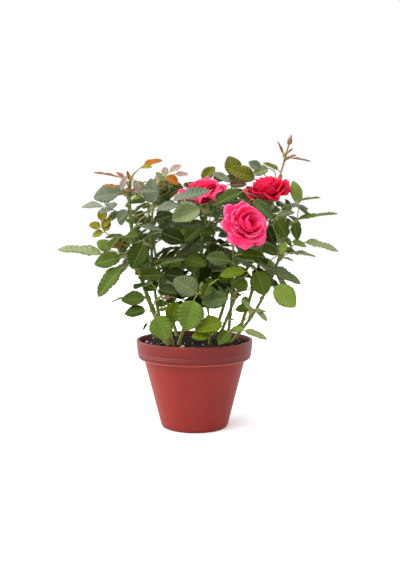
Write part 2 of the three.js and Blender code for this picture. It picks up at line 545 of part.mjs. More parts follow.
// ---- solids of the foliage ----
// One whole leaf as a single closed surface: a three-sided stalk from the middle of its cane, whose sides
// open into the paired leaflets and whose end opens into the last one. A leaflet has six corners on a thin
// edge and is thickest at its middle.
function leafSolid(leaf) {
  const points = [];
  const triangles = [];
  const add = (p) => points.push(p) - 1;
  const spread3 = (b, first, last, top) => {
    const c = corners(b);
    const mid = middle(b);
    const upper = add(moved(mid, b.face, LEAFLET_THICK / 2));
    const lower = add(moved(mid, b.face, -LEAFLET_THICK / 2));
    const edge = [first, ...[5, 4, 3, 2, 1].map((k) => add(c[k])), last];
    for (let k = 0; k < 6; k++)
      triangles.push([edge[k], edge[k + 1], upper], [edge[k + 1], edge[k], lower]);
    triangles.push([last, top, upper], [top, first, upper], [first, last, lower]);
  };
  const { stalk, blades } = leaf;
  const end = blades[blades.length - 1];
  const pairs = (blades.length - 1) / 2;
  const wayAt = (k) => {
    const before = stalk[Math.max(k - 1, 0)];
    return stalk[Math.min(k + 1, stalk.length - 1)].clone().sub(before).normalize();
  };
  const stations = [[0, 0], [1, 0]];
  for (let i = 0; i < pairs; i++) stations.push([2 + 2 * i, -0.8], [2 + 2 * i, 0.8]);
  stations.push([stalk.length - 1, 0]);
  let last = null;
  stations.forEach(([k, shift], n) => {
    const way = wayAt(k);
    const top = moved(end.face, way, -way.dot(end.face)).normalize();
    const side = way.clone().cross(top);
    const r = STALK_RADIUS * (1 - (0.4 * n) / stations.length);
    const p = moved(stalk[k], way, shift);
    const ring = [0, 1, 2].map((j) => {
      const a = (2 * Math.PI * j) / 3;
      return add(moved(moved(p, top, r * Math.cos(a)), side, r * Math.sin(a)));
    });
    if (last) {
      const [T, Q, O] = last;
      const [T2, Q2, O2] = ring;
      triangles.push([T, Q2, T2], [Q, O, O2], [Q, O2, Q2], [O, T, T2]);
      if (shift > 0) {
        const pair = blades.slice(k - 2, k);
        const near = pair[0].way.dot(side) > pair[1].way.dot(side) ? 0 : 1;
        spread3(pair[near], Q, Q2, T);
        spread3(pair[1 - near], O2, O, T2);
      } else triangles.push([T, Q, Q2], [O, T2, O2]);
    } else triangles.push([ring[0], ring[2], ring[1]]);
    last = ring;
  });
  spread3(end, last[1], last[2], last[0]);
  return solid(points, triangles);
}

// A narrow pointed blade on its own, for the sepals.
function bladeSolid(b) {
  const ring = corners(b);
  ring[0] = moved(b.root, b.way, -1.7);
  const mid = middle(b);
  const points = [...ring, moved(mid, b.face, 0.5), moved(mid, b.face, -0.5)];
  const triangles = [];
  for (let k = 0; k < 6; k++) triangles.push([(k + 1) % 6, k, 6], [k, (k + 1) % 6, 7]);
  const made = solid(points, triangles);
  return made.volume() > 0 ? made : solid(points, triangles.map(([x, y, z]) => [x, z, y]));
}

// A stretch of a cane from t0 to t1 as a tapering limb.
function caneSolid(c, t0, t1, sides, level) {
  const steps = Math.max(2, Math.round((t1 - t0) * 10));
  const ts = Array.from({ length: steps + 1 }, (_, k) => t0 + ((t1 - t0) * k) / steps);
  const path = ts.map((t) => onCane(c, t));
  if (level) path[0].z += GAP;
  return limb(path, ts.map((t) => caneRadius(c, t)), sides, level);
}

// ---- blooms ----
// A place on a petal: u from root to tip, s from -1 to 1 across, as distance out from the bloom's axis,
// height along it and turn about it. In the plane of out and up the petal is a quadratic curve from the
// cup, over a bend that opens with the bloom, to a tip that stands highest in the middle of the bloom and
// lies level at its rim. Its sides are shorter than its middle, so it ends in a point.
function onPetal(b, ring, turn, span, u, s) {
  const w = u * (1 - 0.12 * s * s);
  const tipOut = 0.22 + 0.78 * ring;
  const tipUp = 0.34 - (0.3 + 0.14 * b.open) * ring ** 1.3;
  const bendOut = 0.1 + 0.62 * tipOut;
  const bendUp = -0.05 - 0.25 * ring + 0.38 * b.open * ring;
  const out = 0.1 * (1 - w) ** 2 + 2 * bendOut * w * (1 - w) + tipOut * w * w;
  const up = -0.5 * (1 - w) ** 2 + 2 * bendUp * w * (1 - w) + tipUp * w * w;
  const fan = span * Math.sin(Math.PI * Math.min(0.5, 0.12 + 0.55 * u));
  return [out * b.radius, up * b.radius, turn + s * fan];
}

function bloomFrame(b) {
  const f = v3(...b.facing).normalize();
  const e = f.clone().cross(v3(0, 0, 1)).normalize();
  const g = e.clone().cross(f);
  const centre = v3(...b.centre);
  return (out, up, turn) =>
    moved(moved(moved(centre, f, up), e, out * Math.cos(turn)), g, out * Math.sin(turn));
}

function petalSolid(b, ring, turn, span) {
  const frame = bloomFrame(b);
  const rows = [0.35, 0.75, 1];
  const cols = [-1, 0, 1];
  const grid = rows.map((u) => cols.map((s) => frame(...onPetal(b, ring, turn, span, u, s))));
  const root = frame(...onPetal(b, ring, turn, span, 0, 0));
  const flat = grid.flat();
  const nearly = (u, s) => {
    const p = frame(...onPetal(b, ring, turn, span, u, s));
    const du = frame(...onPetal(b, ring, turn, span, u + 0.02, s)).sub(p);
    const ds = frame(...onPetal(b, ring, turn, span, u, s + 0.02)).sub(p);
    return du.cross(ds).normalize();
  };
  const points = [root, ...flat];
  const lift = (u) => moved(frame(...onPetal(b, ring, turn, span, u, 0)), nearly(u, 0), 0.45);
  const drop = (u) => moved(frame(...onPetal(b, ring, turn, span, u, 0)), nearly(u, 0), -0.45);
  points[2] = lift(0.35);
  points[5] = lift(0.75);
  points.push(drop(0.35), drop(0.75));
  const under = { 2: 10, 5: 11 };
  const upper = [[0, 2, 1], [0, 3, 2]];
  for (const a of [1, 4])
    for (const k of [0, 1]) upper.push([a + k, a + k + 1, a + k + 4], [a + k, a + k + 4, a + k + 3]);
  const lower = upper.map(([x, y, z]) => [x, z, y].map((n) => under[n] ?? n));
  const made = solid(points, [...upper, ...lower]);
  return made.volume() > 0 ? made : solid(points, [...upper, ...lower].map(([x, y, z]) => [x, z, y]));
}

// A round body about a bloom's axis from a profile of [radius, height] as shares of the bloom's radius.
function bodyOfBloom(b, profile, sides) {
  const frame = bloomFrame(b);
  const ringAt = (r, h) =>
    Array.from({ length: sides }, (_, k) => frame(r * b.radius, h * b.radius, (2 * Math.PI * k) / sides));
  const points = profile.flatMap(([r, h]) => (r === 0 ? [frame(0, h * b.radius, 0)] : ringAt(r, h)));
  const triangles = [];
  const rings = profile.length - 2;
  const at = (i, k) => 1 + i * sides + (k % sides);
  const end = points.length - 1;
  for (let k = 0; k < sides; k++) {
    triangles.push([0, at(0, k + 1), at(0, k)], [end, at(rings - 1, k), at(rings - 1, k + 1)]);
    for (let i = 0; i + 1 < rings; i++) {
      const [p, q, r, s] = [at(i, k), at(i, k + 1), at(i + 1, k + 1), at(i + 1, k)];
      triangles.push([p, q, r], [p, r, s]);
    }
  }
  const made = solid(points, triangles);
  return made.volume() > 0 ? made : solid(points, triangles.map(([x, y, z]) => [x, z, y]));
}

const CUP = [[0, -0.56], [0.3, -0.5], [0.56, -0.22], [0.62, 0.05], [0.42, 0.22], [0, 0.26]];
const HIP = [[0, -0.98], [0.12, -0.94], [0.17, -0.72], [0.15, -0.55], [0, -0.45]];
const STEM_END = 0.9; // a blooming cane's leafy stretch stops here and the flower stalk goes on

function bloomSolid(b) {
  const c = CANES.find((k) => k.name === b.cane);
  const frame = bloomFrame(b);
  const from = onCane(c, STEM_END);
  const way = onCane(c, STEM_END + 0.02).sub(from).normalize();
  const hip = frame(0, -0.9 * b.radius, 0);
  const under = frame(0, -1.25 * b.radius, 0);
  const start = moved(from, way, GAP + 0.1);
  const bend = new THREE.CubicBezierCurve3(moved(start, way, 2), moved(start, way, 6), under, hip);
  const path = [start, ...[0, 0.3, 0.6, 0.85, 1].map((t) => bend.getPoint(t))];
  const r = caneRadius(c, STEM_END);
  const pieces = [bodyOfBloom(b, CUP, 12), bodyOfBloom(b, HIP, 8), limb(path, path.map(() => r), 6)];
  for (const [count, ring, shift] of [[6, 0.68, 0.5], [8, 1, 0]])
    for (let k = 0; k < count; k++)
      pieces.push(petalSolid(b, ring, ((k + shift) * 2 * Math.PI) / count, (0.95 * Math.PI) / count));
  for (let k = 0; k < 5; k++) {
    const turn = (k * 2 * Math.PI) / 5 + 0.3;
    const f = v3(...b.facing).normalize();
    const root = frame(0.1 * b.radius, -0.62 * b.radius, turn);
    const out = frame(1, 0, turn).sub(frame(0, 0, turn)).addScaledVector(f, -0.2).normalize();
    const face = moved(f, out, -f.dot(out)).normalize();
    pieces.push(bladeSolid({ root, way: out, face, length: 0.62 * b.radius, width: 0.3 }));
  }
  return fused(pieces);
}

// The bud at the end of the bud cane: a slim egg in long pointed sepals.
function budSolid(c) {
  const tip = onCane(c, 1);
  const way = onCane(c, 1).sub(onCane(c, 0.97)).normalize();
  const path = [-2, 0, 2.5, 5.5, 8.5, 13].map((s) => moved(tip, way, s));
  return limb(path, [0.8, 1.2, 2.4, 2.2, 0.9, 0.3], 6);
}

// ---- looks of the nodes ----
const PLASTIC = { color: 0xa63f37, roughness: 0.4, metalness: 0 };
const PEAT = { color: 0x2a1d18, roughness: 1, metalness: 0 };
const BARK = { color: 0x6b8a3c, roughness: 0.6, metalness: 0 };
const LEAF = { color: 0x3f5f35, roughness: 0.5, metalness: 0 };
const PETAL = { color: 0xd81f4c, roughness: 0.6, metalness: 0 };

const group = new THREE.Group();

function node(name, made, look) {
  const m = made.getMesh();
  const position = new Float32Array(m.numVert * 3);
  for (let i = 0; i < m.numVert; i++)
    for (let k = 0; k < 3; k++) position[3 * i + k] = m.vertProperties[i * m.numProp + k];
  const geometry = new THREE.BufferGeometry();
  geometry.setAttribute("position", new THREE.BufferAttribute(position, 3));
  geometry.setIndex(new THREE.BufferAttribute(new Uint32Array(m.triVerts), 1));
  geometry.computeVertexNormals();
  const mesh = new THREE.Mesh(geometry, new THREE.MeshStandardMaterial(look));
  mesh.name = name;
  group.add(mesh);
}

// ---- pot and soil ----
const collarFoot = POT_HEIGHT - COLLAR_DEPTH;
node(
  "pot",
  turned(
    [
      [0, 0],
      [FOOT_RADIUS - 1.6, 0],
      [FOOT_RADIUS + 0.4, 2],
      [SHOULDER_RADIUS, collarFoot],
      [RIM_RADIUS - 2.4, collarFoot],
      [RIM_RADIUS - 1.8, collarFoot + 1],
      [RIM_RADIUS, POT_HEIGHT - 1.4],
      [RIM_RADIUS - 1, POT_HEIGHT],
      [RIM_RADIUS - WALL, POT_HEIGHT],
      [RIM_RADIUS - WALL - 2, collarFoot + 1],
      [SHOULDER_RADIUS - WALL, collarFoot - 3],
      [FOOT_RADIUS + 0.4 - WALL, FLOOR],
      [0, FLOOR],
    ],
    36,
  ),
  PLASTIC,
);
node(
  "soil",
  turned(
    [
      [0, FLOOR + GAP],
      [FOOT_RADIUS + 0.2 - WALL - GAP, FLOOR + GAP],
      [SHOULDER_RADIUS - WALL - 1.4 * GAP, collarFoot - 3 + GAP],
      [RIM_RADIUS - WALL - 2 - 1.5 * GAP, collarFoot + 1 + 2 * GAP],
      [RIM_RADIUS - WALL - 0.6 - 1.5 * GAP, SOIL_EDGE],
      [52, SOIL_TOP],
      [0, SOIL_TOP],
    ],
    30,
  ),
  PEAT,
);

// ---- canes, foliage and blooms ----
CANES.forEach((c, i) => {
  const own = grown.filter((g) => g.cane === i);
  const lowest = Math.min(...own.map((g) => g.stalk[0].z));
  let split = 0;
  while (onCane(c, split).z < lowest - 5 && split < 1) split += 0.005;
  split = Math.max(split, 0.06);
  const long = onCane(c, split).distanceTo(onCane(c, split + 0.01)) / 0.01;
  const bloom = BLOOMS.find((b) => b.cane === c.name);
  node("cane_" + c.name, caneSolid(c, 0, split, 7, true), BARK);
  const stem = caneSolid(c, split + GAP / long, bloom ? STEM_END : 1, 5, false);
  const pieces = [stem, ...own.map(leafSolid)];
  if (c.name === "bud") pieces.push(budSolid(c));
  node("foliage_" + c.name, fused(pieces), LEAF);
});
BLOOMS.forEach((b) => node("rose_" + b.name, bloomSolid(b), PETAL));

export default group;
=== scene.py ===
"""A bush rose with three open blooms and one bud, in a round plastic pot of 13 cm.
Sizes are in millimetres, +Z up, and -Y is the plant's front; a mesh gets its points in metres."""

import bpy
import numpy as np
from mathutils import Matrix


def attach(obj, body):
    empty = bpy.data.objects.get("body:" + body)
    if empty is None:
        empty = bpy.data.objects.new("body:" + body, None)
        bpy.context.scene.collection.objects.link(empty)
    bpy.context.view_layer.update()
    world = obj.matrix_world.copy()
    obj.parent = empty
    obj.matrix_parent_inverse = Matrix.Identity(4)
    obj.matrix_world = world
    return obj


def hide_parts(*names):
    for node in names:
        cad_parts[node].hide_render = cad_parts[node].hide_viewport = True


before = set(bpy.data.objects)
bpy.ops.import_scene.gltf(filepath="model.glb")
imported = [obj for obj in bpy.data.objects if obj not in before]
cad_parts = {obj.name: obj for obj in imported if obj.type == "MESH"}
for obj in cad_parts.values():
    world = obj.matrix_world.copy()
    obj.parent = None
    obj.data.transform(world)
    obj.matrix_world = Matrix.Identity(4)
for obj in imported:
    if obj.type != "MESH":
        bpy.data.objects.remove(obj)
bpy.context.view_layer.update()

# ---- the pot ----
# A round flower pot, injection moulded in one piece from terracotta-red polypropylene. A collar runs round
# its rim, with two fine lines pressed into it, and it stands on its flat underside.
POT_HEIGHT = 98.0
RIM_RADIUS = 65.0
COLLAR_DEPTH = 20.8
SHOULDER_RADIUS = 57.0
FOOT_RADIUS = 37.0
WALL = 3.2
FLOOR = 3.6
COLLAR_LINES = (85.4, 83.2)  # heights of the two pressed lines
POT_SIDES = 160


def rgb(code):
    """A colour given as sRGB hex, as linear red, green, blue and alpha."""
    s = np.array([int(code[k : k + 2], 16) for k in (1, 3, 5)]) / 255
    return (*np.where(s <= 0.04045, s / 12.92, ((s + 0.055) / 1.055) ** 2.4), 1.0)


def add(tree, kind, values=None, links=None, **settings):
    """Adds one node with its settings, the values of its inputs and the outputs that feed them."""
    made = tree.nodes.new("ShaderNode" + kind)
    for name, value in settings.items():
        setattr(made, name, value)
    for name, value in (values or {}).items():
        made.inputs[name].default_value = value
    for name, source in (links or {}).items():
        tree.links.new(source, made.inputs[name])
    return made


def finish(name, colour, roughness, ior=1.5, **sockets):
    """A material with its plain values, and its tree and shader for what patterns it."""
    material = bpy.data.materials.new(name)
    material.use_nodes = True
    shader = material.node_tree.nodes["Principled BSDF"]
    shader.inputs["Base Color"].default_value = rgb(colour)
    shader.inputs["Roughness"].default_value = roughness
    shader.inputs["IOR"].default_value = ior
    for key, value in sockets.items():
        shader.inputs[key.replace("_", " ")].default_value = value
    return material, material.node_tree, shader


def set_colours(ramp, places, colours):
    """Gives a colour ramp its sRGB hex colours, each at its place from 0 to 1, from the lowest up."""
    spots = ramp.color_ramp.elements
    for k, (at, code) in enumerate(zip(places, colours)):
        spot = spots[k] if k < 2 else spots.new(at)
        spot.position = at
        spot.color = rgb(code)


def mottle(tree, shader, colours, size, contrast=0.5, detail=3.0):
    """Feeds the base colour from a noise whose spots are size millimetres across. The colours lie at even
    steps over the middle of the noise's range, and contrast is the share of it that they take."""
    place = add(tree, "TexCoord").outputs["Object"]
    noise = add(tree, "TexNoise", {"Scale": 1000 / size, "Detail": detail}, {"Vector": place})
    ramp = add(tree, "ValToRGB", links={"Fac": noise.outputs["Fac"]})
    last = len(colours) - 1
    set_colours(ramp, [0.5 + contrast * (k / last - 0.5) for k in range(last + 1)], colours)
    tree.links.new(ramp.outputs["Color"], shader.inputs["Base Color"])


def grain(tree, shader, size, depth, detail=2.0):
    """Bump from a noise whose bumps are size millimetres across and depth millimetres high."""
    place = add(tree, "TexCoord").outputs["Object"]
    noise = add(tree, "TexNoise", {"Scale": 1000 / size, "Detail": detail}, {"Vector": place})
    bump = add(tree, "Bump", {"Distance": depth / 1000, "Strength": 1.0}, {"Height": noise.outputs["Fac"]})
    tree.links.new(bump.outputs[0], shader.inputs["Normal"])


def banded(tree, shader, bands):
    """Multiplies the base colour by a colour that goes with height: bands holds each height in millimetres
    and its colour, from the lowest up, and the colour changes evenly between them."""
    heights, colours = zip(*bands)
    lowest, highest = heights[0], heights[-1]
    place = add(tree, "TexCoord").outputs["Object"]
    height = add(tree, "SeparateXYZ", links={"Vector": place}).outputs["Z"]
    limits = {"From Min": lowest / 1000, "From Max": highest / 1000}
    share = add(tree, "MapRange", limits, {"Value": height})
    ramp = add(tree, "ValToRGB", links={"Fac": share.outputs[0]})
    set_colours(ramp, [(at - lowest) / (highest - lowest) for at in heights], colours)
    plain = shader.inputs["Base Color"].links[0].from_socket
    made = add(tree, "VectorMath", links={0: plain, 1: ramp.outputs["Color"]}, operation="MULTIPLY")
    tree.links.new(made.outputs[0], shader.inputs["Base Color"])


def piece(name, points, faces, materials, slots=0, marks=None):
    """A mesh from points in millimetres and faces of four corners, or of three with -1 last. slots gives
    each face's material and marks each point's place (across, along) on its own surface."""
    corners = faces[faces >= 0]
    starts = np.concatenate([[0], np.cumsum((faces >= 0).sum(1))[:-1]])
    mesh = bpy.data.meshes.new(name)
    mesh.vertices.add(len(points))
    mesh.vertices.foreach_set("co", (np.asarray(points) / 1000).ravel())
    mesh.loops.add(len(corners))
    mesh.loops.foreach_set("vertex_index", corners)
    mesh.polygons.add(len(faces))
    mesh.polygons.foreach_set("loop_start", starts)
    mesh.update(calc_edges=True)
    mesh.polygons.foreach_set("use_smooth", np.ones(len(faces), bool))
    mesh.polygons.foreach_set("material_index", np.broadcast_to(slots, len(faces)).astype(np.int32))
    if marks is not None:
        mesh.uv_layers.new(name="place").data.foreach_set("uv", marks[corners].ravel())
    for material in materials:
        mesh.materials.append(material)
    obj = bpy.data.objects.new(name, mesh)
    bpy.context.scene.collection.objects.link(obj)
    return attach(obj, "root")


def rows_of_faces(rows, columns, closed):
    """Faces between neighbouring rows of a grid of points, whose columns close into a ring if asked."""
    row = np.arange(rows - 1)[:, None] * columns
    column = np.arange(columns if closed else columns - 1)[None]
    after = (column + 1) % columns
    below, above = row, row + columns
    return np.stack([below + column, below + after, above + after, above + column], -1).reshape(-1, 4)


def ring_faces(rings, sides):
    """Faces of a closed tube of rings, whose two end points come after the last ring."""
    a = np.arange(sides)
    b = (a + 1) % sides
    none = np.full(sides, -1)
    first = np.stack([np.full(sides, rings * sides), b, a, none], 1)
    above = (rings - 1) * sides
    last = np.stack([np.full(sides, rings * sides + 1), above + a, above + b, none], 1)
    return np.concatenate([rows_of_faces(rings, sides, True), first, last])


def rounded(corners, steps=6):
    """A line through corners of (radius, height, rounding): each corner becomes a curve of second degree
    that leaves one edge and meets the next at the rounding's distance from the corner."""
    c = np.array(corners, float)
    p = c[:, :2]
    before, after = np.roll(p, 1, 0), np.roll(p, -1, 0)
    to_before = (before - p) / np.linalg.norm(before - p, axis=1, keepdims=True)
    to_after = (after - p) / np.linalg.norm(after - p, axis=1, keepdims=True)
    t = np.linspace(0, 1, steps)[None, :, None]
    a, b = (p + to_before * c[:, 2:])[:, None], (p + to_after * c[:, 2:])[:, None]
    curve = (1 - t) ** 2 * a + 2 * t * (1 - t) * p[:, None] + t**2 * b
    keep = np.where(c[:, 2] > 0, steps, 1)
    return np.concatenate([curve[k, : keep[k]] if keep[k] > 1 else p[k : k + 1] for k in range(len(p))])


def turned(profile, sides):
    """A profile of (radius, height) turned about the upright axis: at turn a its point stands at (radius
    cos a, radius sin a, height). It is closed on the axis at the first and the last height."""
    a = np.linspace(0, 2 * np.pi, sides, endpoint=False)
    r, z = profile[:, :1], profile[:, 1:]
    rings = np.stack([r * np.cos(a), r * np.sin(a), z + 0 * a], -1).reshape(-1, 3)
    ends = [[0, 0, profile[0, 1]], [0, 0, profile[-1, 1]]]
    return np.concatenate([rings, ends]), ring_faces(len(profile), sides)


collar_foot = POT_HEIGHT - COLLAR_DEPTH
# The wall's profile as (radius, height, rounding), from the underside up the outside and down the inside.
pot_profile = rounded(
    [
        (2, 0, 0),
        (FOOT_RADIUS - 3, 0, 0),
        (FOOT_RADIUS + 0.1, 0.2, 2.6),
        (SHOULDER_RADIUS, collar_foot - 0.1, 0.5),
        (RIM_RADIUS - 3.4, collar_foot, 0.3),
        (RIM_RADIUS - 2.2, collar_foot + 1.1, 0.5),
        (RIM_RADIUS - 2.0, collar_foot + 2.6, 0.5),
        (RIM_RADIUS - 1.2, COLLAR_LINES[1] - 0.8, 0.3),
        (RIM_RADIUS - 1.6, COLLAR_LINES[1], 0.3),
        (RIM_RADIUS - 1.05, COLLAR_LINES[1] + 0.8, 0.3),
        (RIM_RADIUS - 1.0, COLLAR_LINES[0] - 0.8, 0.3),
        (RIM_RADIUS - 1.4, COLLAR_LINES[0], 0.3),
        (RIM_RADIUS - 0.85, COLLAR_LINES[0] + 0.8, 0.3),
        (RIM_RADIUS, POT_HEIGHT, 1.3),
        (RIM_RADIUS - WALL, POT_HEIGHT, 0.9),
        (RIM_RADIUS - WALL - 2, collar_foot + 1, 1),
        (SHOULDER_RADIUS - WALL, collar_foot - 3, 1),
        (FOOT_RADIUS + 0.4 - WALL, FLOOR, 1),
        (2, FLOOR, 0),
    ]
)
# Moulded polypropylene: a satin skin, faintly uneven in colour. The collar is darker than the wall below it,
# as painted shade, and its lower edge and its two lines are paler, as painted highlights.
COLLAR_PAINTED_LIGHT = [
    (collar_foot - 0.9, "#92261D"),
    (collar_foot - 0.2, "#C2564C"),
    (collar_foot + 0.7, "#C2564C"),
    (collar_foot + 1.8, "#721A14"),
    (COLLAR_LINES[1] - 0.9, "#6E1E19"),
    (COLLAR_LINES[1], "#812B25"),
    (COLLAR_LINES[1] + 0.9, "#721E19"),
    (COLLAR_LINES[0], "#812B25"),
    (COLLAR_LINES[0] + 0.9, "#721E17"),
    (POT_HEIGHT, "#7A221A"),
]
plastic, tree, shader = finish("moulded_polypropylene", "#92261D", 0.4, 1.49, Specular_IOR_Level=0.35)
mottle(tree, shader, ["#F0F0F0", "#FAFAFA", "#FFFFFF"], 24, 0.5)
# Painted shade darkens the collar by height, and painted highlights pale its lower edge and its two lines.
banded(tree, shader, COLLAR_PAINTED_LIGHT)
grain(tree, shader, 0.9, 0.02)
pot = piece("flower_pot", *turned(pot_profile, POT_SIDES), [plastic])
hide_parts("pot")

# ---- the soil ----
# Dark peat potting mix, heaped a little towards the canes, with crumbs, white grains of perlite and a few
# chips of bark lying loose on it.
SOIL_TOP = 96.0
SOIL_EDGE = 92.0
FLAT_RADIUS = 46.0
HEAP_RADIUS = 58.9
SOIL_RINGS = 46
SOIL_SIDES = 150
CRUMBS = 900
PERLITE_GRAINS = 72
BARE_GRAINS = 22  # those of them on the bare soil right of the canes
WAVES = 40
chance = np.random.default_rng(7)
waves = chance.normal(size=(WAVES, 2)) * np.geomspace(0.15, 1.6, WAVES)[:, None]
wave_turns = chance.uniform(0, 2 * np.pi, WAVES)


def heap(x, y):
    """Height of the soil at (x, y): a flat middle that falls to the pot's wall, and many waves of random
    bearing, each lower as it is shorter."""
    r = np.hypot(x, y)
    fall = np.clip((r - FLAT_RADIUS) / (HEAP_RADIUS - FLAT_RADIUS), 0, 1) ** 1.6
    bed = SOIL_TOP - (SOIL_TOP - SOIL_EDGE) * fall
    phase = x[..., None] * waves[:, 0] + y[..., None] * waves[:, 1] + wave_turns
    rough = (np.sin(phase) * 0.55 / (0.6 + np.linalg.norm(waves, axis=1) * 2.2)).sum(-1) / 3
    return bed + 0.45 + rough * np.clip((HEAP_RADIUS + 1 - r) / 6, 0.2, 1)


def repeated(faces, copies, points_each):
    """The faces of one body for many copies of it in a row, each of so many points."""
    shifted = faces[None] + np.arange(copies)[:, None, None] * points_each
    return np.where(faces[None] < 0, -1, shifted).reshape(-1, 4)


def lumps(centres, sizes, sides=6, rings=4):
    """Small rough lumps, each about its centre: a ball of a few rings, its points moved in or out by
    chance, stretched to its three half sizes and turned about its upright."""
    n = len(centres)
    a = np.linspace(0, 2 * np.pi, sides, endpoint=False)
    h = np.linspace(-0.8, 0.8, rings)[:, None]
    across = np.sqrt(1 - h**2)
    ball = np.stack([across * np.cos(a), across * np.sin(a), h + 0 * a], -1).reshape(-1, 3)
    ball = np.concatenate([ball, [[0, 0, -1], [0, 0, 1]]])
    dents = chance.uniform(0.7, 1.25, (n, len(ball), 1))
    turn = chance.uniform(0, np.pi, n)
    c, s, z = np.cos(turn), np.sin(turn), 0 * turn
    spin = np.stack([np.stack([c, -s, z], 1), np.stack([s, c, z], 1), np.stack([z, z, z + 1], 1)], 1)
    bodies = np.einsum("nij,npj->npi", spin, ball[None] * dents * np.asarray(sizes)[:, None])
    points = (bodies + np.asarray(centres)[:, None]).reshape(-1, 3)
    return points, repeated(ring_faces(rings, sides), n, len(ball))


def scattered(count, widest):
    """Places spread evenly by chance over a round bed, at its height."""
    r = widest * np.sqrt(chance.uniform(0, 1, count))
    a = chance.uniform(0, 2 * np.pi, count)
    x, y = r * np.cos(a), r * np.sin(a)
    return np.stack([x, y, heap(x, y)], 1)


# The soil's surface: rings from the pot's floor up its wall to the edge of the heap, then in to the middle.
wall_radii = [2, FOOT_RADIUS - 4, SHOULDER_RADIUS - WALL - 1]
radius = np.concatenate([wall_radii, np.linspace(HEAP_RADIUS, 1, SOIL_RINGS)])
around = np.linspace(0, 2 * np.pi, SOIL_SIDES, endpoint=False)
x, y = radius[:, None] * np.cos(around), radius[:, None] * np.sin(around)
z = heap(x, y)
z[:3] = np.array([FLOOR + 1, FLOOR + 1, collar_foot - 3])[:, None]
ends = [[0, 0, FLOOR + 1], [0, 0, z[-1].mean()]]
bed = np.concatenate([np.stack([x, y, z], -1).reshape(-1, 3), ends])
# Peat: fibrous and matt, nearly black where it is damp and red-brown where it has dried.
peat, tree, shader = finish("peat", "#2A1D18", 0.95)
mottle(tree, shader, ["#0F0A08", "#241813", "#4A342A"], 2.6, 0.42, 6.0)
grain(tree, shader, 1.6, 0.9, 5.0)
soil = piece("potting_soil", bed, ring_faces(len(radius), SOIL_SIDES), [peat])
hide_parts("soil")

places = scattered(CRUMBS, HEAP_RADIUS - 2)
sizes = chance.uniform(0.5, 1.7, (CRUMBS, 1)) * chance.uniform(0.6, 1.3, (CRUMBS, 3))
crumbs = piece("peat_crumbs", *lumps(places, sizes), [peat])

# Perlite: white volcanic glass blown up into light brittle grains, up to two millimetres across.
perlite, tree, shader = finish("perlite", "#D9D2C8", 0.8)
mottle(tree, shader, ["#B5ABA0", "#DDD7CE", "#EFEBE6"], 1.2)
places = scattered(PERLITE_GRAINS, HEAP_RADIUS - 3)
places[:BARE_GRAINS, 0] = chance.uniform(34, 54, BARE_GRAINS)
places[:BARE_GRAINS, 1] = chance.uniform(-18, 26, BARE_GRAINS)
places[:, 2] = heap(places[:, 0], places[:, 1]) + 0.35
sizes = chance.uniform(0.25, 1.0, (PERLITE_GRAINS, 1)) * np.ones((1, 3))
grains = piece("perlite_grains", *lumps(places, sizes, 5, 3), [perlite])

# Bark chips: flat splinters of pine bark, pale where they are torn. Each has its place (x, y), how high its
# middle lies over the soil, and its half length, half width and half height.
CHIPS = np.array(
    [
        [-12, -50, 1.6, 4.2, 2.6, 1.8],
        [-52, -12, 0.8, 2.2, 1.4, 0.9],
        [30, -46, 0.5, 2.0, 1.2, 0.5],
        [-30, 30, 0.6, 2.4, 1.3, 0.6],
        [12, -20, 0.5, 1.8, 1.1, 0.5],
        [48, 18, 0.6, 2.0, 1.4, 0.6],
    ]
)
chip_bark, tree, shader = finish("torn_pine_bark", "#B79A77", 0.8)
mottle(tree, shader, ["#8B6A48", "#B4946C", "#CDB48F"], 2.2)
x, y, lift = CHIPS[:, :3].T
places = np.stack([x, y, heap(x, y) + lift], 1)
chips = piece("bark_chips", *lumps(places, CHIPS[:, 3:], 7, 4), [chip_bark])

# ---- how the plant is laid out ----
# Fourteen canes rise from the soil, and leaves stand along each on a spiral, at first large and hanging,
# towards the tip smaller and upright. Each cane: where it stands, leans, climbs and ends, its foot radius.
CANES = {
    "left": ([-27, -32], [-50, -34, 140], [-68, -34, 190], [-70, -24, 262], 2.9),
    "left_inner": ([-32, -20], [-46, -12, 150], [-52, 0, 200], [-44, 12, 272], 2.0),
    "bloom_left": ([-17, -34], [-6, -26, 130], [12, -4, 190], [13, 4, 243], 2.1),
    "bloom_front": ([36, -6], [41, -14, 130], [42, -28, 165], [41, -42, 206], 1.9),
    "bloom_right": ([46, 2], [62, 2, 135], [74, 2, 190], [87, 0, 243], 2.2),
    "bud": ([28, 22], [50, 26, 150], [86, 22, 235], [105, 14, 314], 1.9),
    "right": ([40, -16], [70, -18, 130], [84, -24, 160], [98, -26, 214], 1.9),
    "low_front": ([16, -34], [18, -44, 115], [16, -50, 135], [8, -52, 165], 1.5),
    "low_right": ([28, -30], [34, -36, 108], [44, -40, 116], [58, -44, 128], 1.3),
    "low_left": ([-22, -38], [-26, -46, 120], [-30, -48, 136], [-34, -48, 150], 1.3),
    "back_left": ([-20, 24], [-36, 40, 150], [-52, 54, 200], [-56, 60, 252], 2.1),
    "back_mid": ([2, 30], [4, 48, 150], [8, 56, 215], [16, 50, 272], 2.2),
    "back_right": ([22, 32], [40, 50, 145], [56, 60, 200], [64, 58, 258], 2.1),
    "middle": ([4, -4], [6, -4, 140], [16, 14, 200], [34, 30, 262], 2.1),
}
